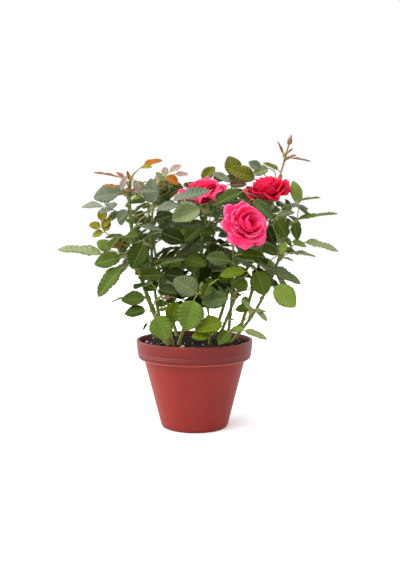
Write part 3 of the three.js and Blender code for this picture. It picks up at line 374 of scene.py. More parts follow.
# The leaves of each cane: where they start and stop along it, how many, the first one's bearing, the
# leaflet length, the seed, and what kind the young ones at its end are.
SPRAYS = {
    "left": (0.42, 0.97, 11, 200, 30, 11, "bronze"),
    "left_inner": (0.42, 0.97, 11, 60, 29, 12, "bronze"),
    "bloom_left": (0.42, 0.85, 8, 250, 31, 13, None),
    "bloom_front": (0.42, 0.85, 7, 300, 30, 14, None),
    "bloom_right": (0.42, 0.85, 8, 330, 30, 15, None),
    "bud": (0.42, 0.7, 8, 20, 29, 16, None),
    "right": (0.42, 0.97, 8, 0, 30, 17, None),
    "low_front": (0.42, 0.97, 5, 240, 28, 18, None),
    "low_right": (0.42, 0.9, 2, 200, 20, 19, None),
    "low_left": (0.42, 0.97, 3, 240, 28, 25, None),
    "back_left": (0.36, 0.97, 11, 120, 30, 20, None),
    "back_mid": (0.36, 0.97, 11, 80, 31, 21, None),
    "back_right": (0.36, 0.97, 11, 40, 30, 22, None),
    "middle": (0.42, 0.97, 11, 180, 31, 23, None),
}
CANE_TAPER = 0.5
# Each bloom: its cane, centre, the way it faces, radius, how far it has opened, seed.
BLOOMS = {
    "front": ("bloom_front", [53, -62, 226], [0.35, -0.85, 0.4], 28, 1.0, 31),
    "right": ("bloom_right", [79.5, -10, 267], [-0.18, -0.22, 0.96], 27, -0.5, 32),
    "left": ("bloom_left", [7, -6, 265], [-0.2, -0.24, 0.95], 30, 0.7, 33),
}
# Leaves that stand out of the crown or show in front of it: cane, place along it, where the end leaflet's
# foot and tip are, how many leaflets, bearing and tilt of its upper face, its width as a share of its
# length, kind. Besides the leaf's own tone, the kind carries light and shade: the light, pale, silver and
# grey kinds here hold painted highlights and sheen, and the deep and dusk ones painted shade where the leaf
# lies deep in the crown.
REACHING = [
    ("left", 0.64, [-98, -26, 193], [-146, -22, 203], 1, 262, 18, 0.36, "pale"),
    ("left", 0.68, [-90, -20, 197], [-105, -18, 207], 1, 262, 60, 0.8, "light"),
    ("left", 0.6, [-77, -36, 190], [-105, -38, 185], 1, 255, 58, 0.72, "soft"),
    ("left", 0.53, [-76, -44, 180], [-103, -46, 152], 1, 245, 62, 0.55, "soft"),
    ("left", 0.72, [-99, -30, 228], [-97, -30, 242], 5, 268, 55, 0.75, "yellow"),
    ("left", 0.66, [-73, -44, 204], [-90, -46, 206], 1, 262, 60, 0.75, "brown"),
    ("left", 0.9, [-78, -40, 258], [-105, -40, 255], 1, 262, 62, 0.85, "grey"),
    ("left", 0.94, [-74, -22, 258], [-93, -20, 265], 1, 262, 55, 0.8, "grey"),
    ("left", 0.82, [-97, -28, 244], [-119, -28, 246], 3, 262, 18, 0.75, "silver"),
    ("left", 1.0, [-78, -30, 275], [-105, -30, 283], 3, 262, 20, 0.24, "bronze"),
    ("left", 0.955, [-81, -46, 265], [-93, -46, 266], 1, 262, 45, 0.42, "orange"),
    ("left", 0.98, [-70, -38, 276], [-76, -42, 262], 1, 262, 60, 0.45, "mauve"),
    ("left", 0.965, [-64, -34, 273], [-57, -38, 258], 1, 268, 60, 0.5, "mauve"),
    ("left", 0.975, [-69, -18, 271], [-72, -18, 282], 1, 270, 60, 0.35, "orange"),
    ("left", 0.995, [-55, -22, 288], [-36, -22, 295], 1, 258, 45, 0.5, "orange"),
    ("left", 0.985, [-57, -26, 285], [-46, -26, 287], 1, 262, 55, 0.6, "yellow"),
    ("left_inner", 1.0, [-28, 8, 283], [-16, 8, 291], 3, 262, 55, 0.7, "mauve"),
    ("left_inner", 0.98, [-22, 2, 280], [-8, 2, 281], 1, 262, 50, 0.5, "mauve"),
    ("left_inner", 0.96, [-33, -2, 272], [-41, -2, 282], 1, 262, 50, 0.6, "pale"),
    ("left_inner", 0.94, [-30, -28, 277], [-18, -30, 269], 1, 262, 60, 0.8, "orange"),
    ("left_inner", 0.88, [-45, -16, 247], [-47, -20, 273], 1, 262, 70, 0.72, "silver"),
    ("left", 0.87, [-60, -44, 258], [-38, -46, 261], 1, 262, 25, 0.5, "grey"),
    ("left_inner", 0.91, [-54, -4, 262], [-64, -4, 272], 1, 262, 50, 0.7, "pale"),
    ("left_inner", 0.9, [-29, 16, 269], [-46, 16, 275], 1, 265, 60, 0.75, "soft"),
    ("left_inner", 0.85, [-38, 10, 253], [-19, 14, 266], 1, 262, 60, 0.62, "mid"),
    ("left", 0.85, [-23, -48, 250], [14, -54, 263], 1, 262, 50, 0.36, "grey"),
    ("left", 0.78, [-40, -52, 240], [-15, -54, 247], 1, 262, 48, 0.5, "grey"),
    ("bloom_left", 0.8, [7, -44, 242], [-22, -50, 232], 1, 262, 66, 0.92, "pale"),
    ("left_inner", 0.75, [-46, -14, 229], [-22, -16, 237], 1, 262, 55, 0.5, "deep"),
    ("left", 0.75, [-58, -42, 224], [-34, -44, 221], 1, 262, 40, 0.4, "grey"),
    ("left_inner", 0.62, [-37, -30, 217], [-11, -34, 208], 1, 262, 60, 0.7, "deep"),
    ("left", 0.83, [-70, -40, 241], [-80, -42, 230], 1, 262, 60, 0.8, "grey"),
    ("left", 0.7, [-52, -50, 206], [-64, -56, 181], 1, 265, 70, 0.8, "mid"),
    ("left_inner", 0.5, [-38, -40, 182], [-12, -42, 191], 1, 262, 15, 0.4, "sage"),
    ("left", 0.28, [-51, -42, 147], [-76, -44, 147], 1, 262, 55, 0.7, "soft"),
    ("left", 0.2, [-50, -48, 135], [-72, -50, 133], 1, 258, 52, 0.72, "mid"),
    ("left", 0.36, [-73, -20, 147], [-91, -18, 143], 1, 262, 8, 0.25, "pale"),
    ("left", 0.11, [-49, -42, 122], [-54, -44, 115], 1, 262, 30, 0.4, "mid"),
    ("low_left", 0.7, [-40, -60, 131], [-28, -66, 108], 1, 262, 68, 0.95, "clear"),
    ("low_left", 0.95, [-18, -54, 146], [-24, -58, 123], 1, 268, 60, 0.75, "fresh"),
    ("low_front", 0.9, [0, -62, 148], [-8, -70, 118], 1, 268, 64, 0.9, "clear"),
    ("low_front", 1.0, [4, -60, 153], [-20, -56, 169], 1, 262, 62, 0.85, "sage"),
    ("left", 0.48, [-58, -42, 171], [-33, -44, 173], 1, 262, 60, 0.72, "mid"),
    ("bloom_left", 0.45, [-9, -38, 169], [-31, -40, 173], 1, 262, 60, 0.75, "deep"),
    ("left_inner", 0.38, [-31, -26, 173], [-37, -28, 156], 1, 262, 50, 0.4, "sage"),
    ("low_left", 1.0, [-42, -40, 141], [-30, -40, 142], 1, 262, 60, 0.9, "soft"),
    ("bloom_front", 0.25, [30, -60, 124], [3, -68, 119], 1, 270, 52, 0.72, "fresh"),
    ("low_front", 0.3, [17, -62, 112], [-1, -68, 111], 1, 268, 60, 0.8, "fresh"),
    ("low_right", 0.35, [37, -58, 115], [26, -66, 104], 1, 268, 62, 0.9, "soft"),
    ("bloom_front", 0.4, [35, -50, 149], [9, -54, 145], 1, 268, 58, 0.75, "dusk"),
    ("bloom_front", 0.3, [43, -30, 134], [62, -34, 136], 1, 268, 40, 0.6, "fresh"),
    ("bloom_front", 0.46, [56, -28, 149], [54, -30, 138], 1, 268, 60, 0.8, "light"),
    ("low_right", 0.2, [38, -50, 113], [51, -52, 117], 1, 268, 45, 0.8, "light"),
    ("low_right", 0.45, [52, -48, 114], [76, -52, 107], 1, 272, 40, 0.42, "pale"),
    ("low_right", 1.0, [64, -44, 136], [77, -46, 125], 3, 270, 45, 0.42, "pale"),
    ("bloom_front", 0.62, [54, -54, 177], [28, -56, 174], 1, 266, 48, 0.62, "fresh"),
    ("bloom_front", 0.52, [58, -44, 160], [42, -46, 162], 1, 268, 65, 0.85, "soft"),
    ("bloom_front", 0.75, [38, -48, 187], [14, -50, 192], 1, 262, 60, 0.68, "dusk"),
    ("bloom_front", 0.87, [48, -48, 194], [73, -50, 193], 1, 266, 55, 0.5, "mid"),
    ("bloom_right", 0.42, [66, -38, 177], [75, -42, 152], 1, 268, 72, 0.9, "soft"),
    ("right", 0.62, [80, -34, 177], [115, -30, 165], 1, 262, 48, 0.48, "sage"),
    ("right", 0.45, [84, -40, 160], [107, -44, 140], 1, 275, 58, 0.8, "light"),
    ("back_mid", 0.92, [48, 36, 279], [40, 38, 303], 1, 262, 62, 0.8, "olive"),
    ("back_right", 1.0, [69, 24, 276], [40, 22, 289], 1, 262, 62, 0.6, "olive"),
    ("back_mid", 0.98, [8, 40, 276], [22, 40, 291], 1, 262, 62, 0.7, "olive"),
    ("middle", 0.98, [41, 20, 273], [22, 18, 284], 1, 262, 50, 0.45, "silver"),
    ("bud", 0.74, [75, 16, 286], [62, 14, 295], 1, 262, 55, 0.8, "grey"),
    ("bud", 0.79, [84, 10, 289], [67, 8, 283], 1, 262, 55, 0.75, "pale"),
    ("bud", 0.83, [95, 18, 286], [79, 18, 295], 1, 262, 45, 0.45, "olive"),
    # This leaf's dark brown colour is partly painted shade from the olive leaves above it.
    ("middle", 0.95, [38, 12, 270], [57, 10, 271], 1, 262, 60, 0.6, "shaded_russet"),
    ("bloom_right", 0.82, [51, -30, 260], [20, -34, 248], 1, 262, 56, 0.52, "mid"),
    ("bloom_right", 0.78, [62, -30, 252], [84, -32, 232], 1, 262, 58, 0.5, "dusk"),
    ("right", 1.0, [115, -4, 247], [110, 0, 273], 1, 268, 60, 0.5, "light"),
    ("right", 0.98, [113, -10, 251], [136, -8, 257], 1, 262, 8, 0.45, "pale"),
    ("right", 0.96, [98, -16, 246], [123, -14, 245], 1, 262, 20, 0.42, "grey"),
    ("right", 0.93, [88, -32, 234], [105, -34, 239], 1, 262, 45, 0.6, "sage"),
    ("right", 0.91, [109, -22, 230], [153, -18, 242], 1, 262, 12, 0.3, "soft"),
    ("right", 0.99, [106, -32, 229], [110, -34, 210], 1, 262, 60, 0.6, "mid"),
    ("right", 0.88, [86, -40, 231], [97, -44, 213], 1, 262, 60, 0.7, "mid"),
    ("right", 0.8, [119, -18, 206], [157, -15, 200], 1, 266, 40, 0.42, "pale"),
    ("right", 0.83, [104, -24, 207], [120, -24, 203], 1, 262, 40, 0.6, "light"),
    ("right", 0.74, [103, -26, 195], [130, -24, 194], 1, 262, 10, 0.4, "pale"),
    ("right", 0.68, [88, -34, 192], [105, -36, 189], 1, 262, 15, 0.3, "mid"),
    ("right", 0.84, [97, -40, 207], [91, -42, 195], 1, 262, 60, 0.7, "light"),
    ("bloom_right", 0.68, [78, -20, 224], [86, -24, 206], 1, 262, 60, 0.8, "deep"),
    ("bloom_right", 0.6, [70, -34, 201], [88, -36, 195], 1, 262, 55, 0.7, "mid"),
    ("bud", 0.92, [107, 12, 299], [129, 12, 298], 3, 262, 25, 0.28, "bronze"),
    ("bud", 0.96, [99, 12, 302], [94, 12, 317], 1, 262, 30, 0.22, "bronze"),
    ("bud", 0.94, [103, 14, 304], [109, 14, 310], 1, 262, 30, 0.22, "bronze"),
]
# Where the crown is open seen from the front, as (x, z, radius): no leaf of the spirals grows there.
OPEN = [
    (-97, 130, 19), (-66, 113, 9), (-69, 162, 6), (-122, 223, 13), (-110, 212, 7), (-81, 224, 5),
    (-40, 203, 6), (-88, 295, 12), (-60, 300, 12), (-35, 296, 8), (5, 300, 14), (76, 142, 8),
    (100, 116, 17), (126, 172, 12), (108, 184, 5), (132, 218, 9), (132, 268, 10), (76, 308, 12),
    (122, 310, 10), (-46, 112, 6), (57, 120, 8), (116, 152, 8), (103, 176, 6),
]
open_x, open_z, open_radius = np.array(OPEN, float).T
CROWN_MIDDLE = np.array([12.0, 0, 0])  # on the upright that the spirals' leaves turn away from
# A leaflet's width as a share of its length, grown and young, how far its sides fold up and its tip curls
# down, and how long its own short stalk is.
LEAFLET_WIDTH = 0.84
YOUNG_WIDTH = 0.46
FOLD = 0.25
CURL = 0.12
SHORT_STALK = 1.2
# A leaf's stalk, bare to the first pair and on to the next, in lengths of its end leaflet.
PETIOLE = 0.48
STEP = 0.5
# Leaflets beside the stalk in shares of the end one: the lowest pair of five leaflets, and any other.
LOWEST_PAIR = 0.72
UPPER_PAIR = 0.88
# Room that a leaf keeps: from canes and blooms, on both sides of its blades, between its stalk and others,
# and from its own cane.
CLEAR = 3.4
MARGIN = 1.0
TWIG_SPACE = 2.2
OWN_CLEAR = 2.5
# Blades stay above this height everywhere, and over the pot's rim within this radius.
LOWEST_BLADE = 60.0
OVER_RIM = POT_HEIGHT + 1.4
RIM_REACH = RIM_RADIUS + 2.5
BLOOM_VIEW = 26.0  # the radius kept free in front of the front bloom
# Two spirals climb each cane, the second between the leaves of the first and with smaller leaves. Each has
# its start in steps of the spiral, the turn of its bearings and the size of its leaves.
SPIRALS = [(0.0, 0.0, 1.0), (0.5, 68.0, 0.74)]
GOLDEN_ANGLE = 137.5
YOUNG_FROM = 0.93
# A reaching leaf takes the first of these depths where it has room, and a spiral's leaf the first of these
# turns of its bearing.
DEPTH_STEPS = (0, 4, -4, 8, -8, 13, -13)
TURN_STEPS = (0, 25, -25, 50, -50, 80, -80)


def draw(seed, n):
    """A number from 0 to 1 for each seed and turn: what follows the point in a large multiple of a sine."""
    s = np.sin(seed * 12.9898 + n * 78.233) * 43758.5453
    return s - np.floor(s)


def spread(seed, n, reach):
    """A number between -reach and reach for each seed and turn."""
    return (2 * draw(seed, n) - 1) * reach


def heading(bearing, pitch):
    """Unit vector for a bearing round the plant and a pitch above level, in degrees."""
    b, p = np.radians(bearing), np.radians(pitch)
    return np.stack([np.cos(b) * np.cos(p), np.sin(b) * np.cos(p), np.sin(p) + 0 * b], -1)


def unit(v):
    """Vectors brought to length 1."""
    return v / np.linalg.norm(v, axis=-1, keepdims=True)


def square_to(v, way):
    """The part of v that is square to way, brought to length 1."""
    return unit(v - way * (v * way).sum(-1, keepdims=True))


def spokes(e, g, turn):
    """Unit vectors at a turn from e towards g, which are square to each other."""
    return e * np.cos(turn) + g * np.sin(turn)


def bezier(p, t):
    """Points at t on the curve of third degree from p[0] past p[1] and p[2] to p[3]."""
    t = np.asarray(t, float)[..., None]
    return (1 - t) ** 3 * p[0] + 3 * t * (1 - t) ** 2 * p[1] + 3 * t**2 * (1 - t) * p[2] + t**3 * p[3]


def on_cane(name, t):
    """Points along a cane, from its foot at 0 to its tip at 1."""
    foot, lean, climb, tip = CANES[name][:4]
    return bezier(np.array([[*foot, SOIL_TOP], lean, climb, tip], float), t)


def blade_at(root, want, tilt, seed, n, length, width, facing):
    """A leaflet as (root, way, face, length, width). A reaching leaf keeps its way and turns its face as
    asked; any other turns its face up and out to the light and points as nearly along want."""
    if facing is not None:
        asked = heading(facing + spread(seed, n + 12, 14), 90 - tilt + spread(seed, n + 11, 10))
        return root + want * SHORT_STALK, want, square_to(asked, want), length, width
    lean = np.radians(tilt + spread(seed, n + 11, 16))
    out = root + want * length * 0.5 - CROWN_MIDDLE
    reach = np.hypot(out[0], out[1])
    out = np.array([out[0], out[1], 0]) / reach if reach > 6 else np.array([0.0, -1, 0])
    up = np.array([0, 0, np.cos(lean)]) + out * np.sin(lean)
    face = unit(up + heading(360 * draw(seed, n + 12), 0) * 0.28)
    way = square_to(want, face)
    return root + way * SHORT_STALK, way, face, length, width


def spiral_leaf(base, bearing, rise, droop, size, count, tilt, seed, width):
    """A stalk that bends down evenly, with leaflets in pairs along it and one at its end."""
    pairs = (count - 1) // 2
    legs = [size * PETIOLE] + [size * STEP] * pairs
    total = sum(legs) + size
    stalk, blades, p, run = [base], [], base, 0.0
    for i, leg in enumerate(legs):
        for _ in range(2):
            p = p + heading(bearing, rise - (droop * (run + leg / 4)) / total) * leg / 2
            run += leg / 2
            stalk.append(p)
        if i >= pairs:
            continue
        share = LOWEST_PAIR if pairs == 2 and i == 0 else UPPER_PAIR
        for s in (-1, 1):
            way = heading(bearing + s * (70 + spread(seed, 10 * i + s, 7)), rise - (droop * run) / total)
            length = size * share * (1 + spread(seed, 20 * i + s + 3, 0.08))
            blades.append(blade_at(p, way, tilt, seed, 30 * i + s, length, width, None))
    way = heading(bearing, rise - (droop * (run + size * 0.35)) / total)
    blades.append(blade_at(p, way, tilt, seed, 77, size, width, None))
    return as_leaf(stalk, blades)


BLADE_PARTS = ("root", "way", "face", "length", "width")


def as_leaf(stalk, blades):
    """A leaf with its blades as arrays."""
    parts = {name: np.array(part) for name, part in zip(BLADE_PARTS, zip(*blades))}
    return {"stalk": np.array(stalk), **parts}


def reaching_leaf(base, foot, tip, count, facing, tilt, width, seed):
    """A leaf whose end leaflet lies from foot to tip. Its stalk is a curve of second degree that arrives
    along that leaflet's way, and its pairs spread to both sides in the leaflet's own plane."""
    pairs = (count - 1) // 2
    size = np.linalg.norm(tip - foot)
    way = (tip - foot) / size
    away = np.linalg.norm(foot - base)
    middle = foot - way * 0.45 * away
    leg = min(STEP * size / away, 0.6 / max(pairs, 1))
    start = 1 - pairs * leg

    def at(t):
        return base * (1 - t) ** 2 + middle * 2 * t * (1 - t) + foot * t * t

    end = blade_at(foot, way, tilt, seed, 77, size, width, facing)
    stalk, blades = [base, at(start / 2), at(start)], []
    for i in range(pairs):
        t = start + leg * i
        along = unit(at(t + 0.02) - at(t - 0.02))
        side = np.cross(along, square_to(end[2], along))
        for s in (-1, 1):
            turn = np.radians(66 + spread(seed, 10 * i + s, 7))
            length = size * 0.86 * (1 + spread(seed, 20 * i + s + 3, 0.08))
            want = along * np.cos(turn) + side * s * np.sin(turn)
            blades.append(blade_at(at(t), want, tilt, seed, 30 * i + s, length, width, facing))
        stalk += [at(t + leg / 2), at(t + leg)]
    return as_leaf(stalk, blades + [end])


def laid_out(root, way, side, face, along, across, lift):
    """Points of sheets, each from its own root: along its way, across to its side and up its face, all
    three given as arrays whose first axis is the sheets."""
    shape = (-1,) + (1,) * (np.ndim(along) - 1) + (3,)
    root, way, side, face = (k.reshape(shape) for k in (root, way, side, face))
    return root + way * along[..., None] + side * across[..., None] + face * lift[..., None]


def on_blade(leaf, u, s):
    """Places on a leaf's blades, from u 0 at the root to 1 at the tip and s -1 to 1 across: the sides fold
    up from the midrib by FOLD and the tip curls down by CURL times u squared."""
    length = leaf["length"][:, None]
    half = length * leaf["width"][:, None] / 2
    side = np.cross(leaf["way"], leaf["face"])
    lift = np.abs(s) * half * FOLD - CURL * length * u * u
    return laid_out(leaf["root"], leaf["way"], side, leaf["face"], length * u, half * s, lift)


def half_width(u):
    """Half width of a leaflet at u: a rounded base, widest near the middle, a pointed tip."""
    inside = np.clip(u, 0, 1)
    return np.clip(np.sin(np.pi * inside**0.85), 0, 1) ** 0.65


def crossing(lines, triangles):
    """True if any line passes through any triangle: each line is solved for where it meets each triangle's
    plane, as shares u and s of two of the triangle's edges and t of the line."""
    a, b, c = (triangles[:, k] for k in range(3))
    first, second = (b - a)[None], (c - a)[None]
    start, ray = lines[:, None, 0], (lines[:, 1] - lines[:, 0])[:, None]
    h = np.cross(ray, second)
    det = (first * h).sum(-1)
    det = np.where(np.abs(det) < 1e-12, np.inf, det)
    away = start - a[None]
    w = np.cross(away, first)
    u, s, t = (away * h).sum(-1) / det, (ray * w).sum(-1) / det, (second * w).sum(-1) / det
    inside = (u >= 0) & (u <= 1) & (s >= 0) & (u + s <= 1) & (t >= 0) & (t <= 1)
    return bool((inside & np.isfinite(det)).any())


def nearest(points, others):
    """The least distance from any of the points to any of the others."""
    return np.linalg.norm(points[:, None] - others[None], axis=-1).min()


def bloom_axes(bloom):
    """A bloom's centre, the way it faces and the two ways across it."""
    _, centre, facing, _, _, _ = BLOOMS[bloom]
    f = unit(np.array(facing, float))
    e = unit(np.cross(f, [0, 0, 1]))
    return np.array(centre, float), f, e, np.cross(e, f)


# What stands for the canes and the blooms in the tests of room: points along each cane, and for each bloom
# a ball in its middle, one under it and a ring of balls round it.
RIM_BALLS = 10
cane_lines = {name: on_cane(name, np.linspace(0, 1, 60)) for name in CANES}
balls, ball_radii = [], []
for bloom, (_, _, _, radius, _, _) in BLOOMS.items():
    centre, f, e, g = bloom_axes(bloom)
    turns = np.arange(RIM_BALLS)[:, None] * 2 * np.pi / RIM_BALLS
    rim = centre + radius * 0.66 * spokes(e, g, turns)
    balls += [centre + f * 2, centre - f * radius * 0.45, *rim]
    ball_radii += [radius * 0.45, radius * 0.42] + [radius * 0.36] * RIM_BALLS
balls, ball_radii = np.array(balls), np.array(ball_radii)
front_centre = np.array(BLOOMS["front"][1], float)


def off_solids(leaf, cane, reaching):
    """True if a leaf is clear of the pot, the blooms and every cane, and, unless it is a reaching one, of
    the view of the front bloom and of the open places."""
    u = np.repeat(np.arange(1, 9) / 8, 5)
    s = np.tile([-1, -0.5, 0, 0.5, 1], 8)
    blade = on_blade(leaf, u, s * half_width(u)).reshape(-1, 3)
    low = blade[:, 2]
    over_pot = np.hypot(blade[:, 0], blade[:, 1]) < RIM_REACH
    if ((low < LOWEST_BLADE) | ((low < OVER_RIM) & over_pot)).any():
        return False
    every = np.concatenate([blade, leaf["stalk"][2:]])
    before = np.hypot(every[:, 0] - front_centre[0], every[:, 2] - front_centre[2]) < BLOOM_VIEW
    if not reaching and (before & (every[:, 1] < front_centre[1])).any():
        return False
    if not reaching and (np.hypot(blade[:, :1] - open_x, blade[:, 2:] - open_z) < open_radius).any():
        return False
    if (np.linalg.norm(every[:, None] - balls[None], axis=-1) < CLEAR + ball_radii).any():
        return False
    if any(nearest(every, line) < CLEAR for other, line in cane_lines.items() if other != cane):
        return False
    return nearest(blade, cane_lines[cane]) >= OWN_CLEAR


# Corners of a blade's simple outline, as (u, s), from its root round by one edge to its tip and back.
CORNERS = np.array([[0, 0], [0.18, -0.88], [0.64, -0.94], [1, 0], [0.64, 0.94], [0.18, 0.88]])


def stand_ins(leaf):
    """What stands for a leaf in later tests: triangles from each blade's middle to its simple outline, lines
    along the stalk, and lines round the outline and along the blade, a MARGIN over, in and under it, with
    pins through it. The box holds them all."""
    bare = leaf["stalk"][1:]
    ring = on_blade(leaf, CORNERS[:, 0], CORNERS[:, 1])
    way, face, length = leaf["way"], leaf["face"], leaf["length"][:, None]
    middle = (leaf["root"] + way * length * 0.42 - face * length * CURL * 0.18)[:, None]
    up = face[:, None] * MARGIN
    pins = [(middle + up, middle - up)]
    for share in (0.94, 0.5):
        at = ring * share + middle * (1 - share)
        pins.append((at + up, at - up))
    after = np.roll(ring, -1, 1)
    for s in (1, 0, -1):
        pins.append((ring + up * s, after + up * s))
        pins.append((ring[:, :1] + up * s, middle + up * s))
        pins.append((middle + up * s, ring[:, 3:4] + up * s))
    lines = np.concatenate([np.stack(pair, 2).reshape(-1, 2, 3) for pair in pins])
    first = bare[0] - leaf["stalk"][0]
    free = leaf["stalk"][0] + first * min(CLEAR / np.linalg.norm(first), 1)
    lines = np.concatenate([lines, np.stack([[free, *bare[:-1]], bare], 1)])
    middles = np.repeat(middle, len(CORNERS), 1)
    faces = np.stack([ring, after, middles], 2).reshape(-1, 3, 3)
    spots = np.concatenate([lines.reshape(-1, 3), faces.reshape(-1, 3)])
    return {"lines": lines, "faces": faces, "box": np.array([spots.min(0), spots.max(0)])}


def has_room(leaf, cane, grown, reaching):
    """True if a leaf is clear of the pot, the blooms, every cane and every leaf before it. What stands for
    the leaf in later tests is kept in it."""
    if not off_solids(leaf, cane, reaching):
        return False
    bare = leaf["stalk"][1:]
    part = np.array([0, 0.25, 0.5, 0.75])[None, :, None]
    between = (bare[:-1, None] * (1 - part) + bare[1:, None] * part).reshape(-1, 3)
    leaf["twig"] = np.concatenate([between, bare[-1:]])
    if any(nearest(leaf["twig"], other["twig"]) < TWIG_SPACE for other in grown):
        return False
    leaf.update(stand_ins(leaf))
    low, high = leaf["box"]
    near = [k for k in grown if (k["box"][0] <= high).all() and (low <= k["box"][1]).all()]
    if not near:
        return True
    if crossing(leaf["lines"], np.concatenate([other["faces"] for other in near])):
        return False
    return not crossing(np.concatenate([other["lines"] for other in near]), leaf["faces"])


def keep_if_room(grown, leaf, cane, reaching, kind, seed, t):
    """Adds a leaf to the grown ones and says so, if it has room."""
    room = has_room(leaf, cane, grown, reaching)
    if room:
        grown.append({**leaf, "cane": cane, "kind": kind, "seed": seed, "t": t})
    return room


# The reaching leaves stand first, then the two spirals of leaves climb every cane.
grown = []
names = list(CANES)
for cane, t, foot, tip, count, facing, tilt, width, kind in REACHING:
    for k, step in enumerate(DEPTH_STEPS):
        seed = names.index(cane) * 10 + t * 100 + 0.37 * k
        ends = [np.array(end, float) + [0, step, 0] for end in (foot, tip)]
        leaf = reaching_leaf(on_cane(cane, t), *ends, count, facing, tilt, width, seed)
        if keep_if_room(grown, leaf, cane, True, kind, seed, t):
            break
for part, aside, smaller in SPIRALS:
    for cane, (first, last, leaves, turn, blade, cane_seed, young_kind) in SPRAYS.items():
        for k in range(leaves):
            t = first + (last - first) * min(k + part, leaves - 1) / max(leaves - 1, 1)
            seed = cane_seed + (k + part) * 1.7
            young = young_kind and t > YOUNG_FROM
            size = smaller * blade * (1.1 - 0.26 * t) * (1 + spread(seed, 1, 0.1)) * (0.75 if young else 1)
            rise = 8 + 34 * t + spread(seed, 2, 10)
            droop = (78 - 48 * t) * (1 + spread(seed, 3, 0.25))
            count = 5 if draw(seed, 4) > 0.35 and t < 0.9 else 3
            bearing = turn + aside + GOLDEN_ANGLE * k + spread(seed, 5, 22)
            tilt = 62 - 38 * t + spread(seed, 7, 12)
            kind = young_kind if young else "fresh" if draw(seed, 6) > 0.86 else "green"
            width = YOUNG_WIDTH if young else LEAFLET_WIDTH
            base = on_cane(cane, t)
            for n, off in enumerate(TURN_STEPS):
                up = rise + (n % 3) * 6
                leaf = spiral_leaf(base, bearing + off, up, droop, size, count, tilt, seed, width)
                if keep_if_room(grown, leaf, cane, False, kind, seed, t):
                    break

# ---- the canes ----
# Young rose wood, three to six millimetres thick at its foot: smooth green skin with shallow ribs, a little
# thicker by the soil and where a leaf stands, and armed with a few small hooked prickles.
STEM_END = 0.9  # where a blooming cane bends into the bloom's stalk
STEM_ROWS = 150
STEM_SIDES = 16
STALK_TOP = 1.15  # radius of a bloom's stalk under its hip
SUNK = 1.5  # how deep a stem's foot reaches into the soil
NODE_SWELL = 0.22
NODE_LENGTH = 0.012
FOOT_FLARE = 0.15
PRICKLES = 12
SIDEWAYS = np.array([1.0, 0, 0])


def tubes(paths, radii, sides, across):
    """Round sections carried along paths: about every place of a path a ring of points at its radius,
    square to the path's way there, and one point at each end. radii may also be given point by point, and
    across is a vector that no path runs along."""
    n, k = paths.shape[:2]
    way = unit(np.gradient(paths, axis=1))
    side = square_to(np.broadcast_to(across, paths.shape), way)[:, :, None]
    other = np.cross(way, side[:, :, 0])[:, :, None]
    turns = np.linspace(0, 2 * np.pi, sides, endpoint=False)[None, None, :, None]
    reach = np.broadcast_to(radii if np.ndim(radii) == 3 else np.asarray(radii)[..., None], (n, k, sides))
    rings = paths[:, :, None] + reach[..., None] * spokes(side, other, turns)
    points = np.concatenate([rings.reshape(n, -1, 3), paths[:, :1], paths[:, -1:]], 1)
    return points.reshape(-1, 3), repeated(ring_faces(k, sides), n, points.shape[1])


def joined(*parts):
    """Many (points, faces) as one, and which part each face comes from."""
    shift = np.cumsum([0] + [len(points) for points, _ in parts])
    faces = [np.where(f < 0, -1, f + s) for (_, f), s in zip(parts, shift)]
    source = np.repeat(np.arange(len(parts)), [len(f) for f in faces])
    return np.concatenate([points for points, _ in parts]), np.concatenate(faces), source


def cane_radius(cane, t):
    """Radius along a cane, which loses CANE_TAPER of it on the way up."""
    return CANES[cane][4] * (1 - CANE_TAPER * np.asarray(t))


def flower_stalk(bloom):
    """The bend from a blooming cane's leafy end to the bloom's hip, as a curve of third degree."""
    cane, _, _, radius, _, _ = BLOOMS[bloom]
    centre, f, _, _ = bloom_axes(bloom)
    start = on_cane(cane, STEM_END)
    way = unit(on_cane(cane, STEM_END + 0.02) - start)
    ends = [start + way * 2.4, start + way * 6.4, centre - f * 1.25 * radius, centre - f * 0.9 * radius]
    return bezier(np.array(ends), np.linspace(0, 1, 30))


# Rose wood: a waxy green skin, yellow-brown where it leaves the soil and red-brown on the youngest shoot.
# The colours change unevenly with height: each stands at its share of the way from the lower to the upper
# limit, which are in metres.
WOOD_COLOURS = [
    (0.0, "#8C8040"),
    (0.1, "#768630"),
    (0.3, "#55701C"),
    (0.74, "#607624"),
    (0.84, "#A07A48"),
    (1.0, "#8C5A3E"),
]
wood, tree, shader = finish("green_rose_wood", "#6F7F33", 0.5, 1.45)
place = add(tree, "TexCoord").outputs["Object"]
height = add(tree, "SeparateXYZ", links={"Vector": place}).outputs["Z"]
blotches = add(tree, "TexNoise", {"Scale": 60.0, "Detail": 3.0}, {"Vector": place})
uneven = add(tree, "Math", {1: 0.05}, {0: blotches.outputs["Fac"], 2: height}, operation="MULTIPLY_ADD")
limits = {"From Min": 0.115, "From Max": 0.345}
climb = add(tree, "MapRange", limits, {"Value": uneven.outputs[0]})
ramp = add(tree, "ValToRGB", links={"Fac": climb.outputs[0]})
set_colours(ramp, *zip(*WOOD_COLOURS))
tree.links.new(ramp.outputs["Color"], shader.inputs["Base Color"])
grain(tree, shader, 1.2, 0.12, 3.0)
# Prickles: dry, horny and red-brown, about two millimetres long.
prickle, tree, shader = finish("prickle", "#8A5A3C", 0.5)
mottle(tree, shader, ["#7A4A32", "#A8805A"], 3.0)

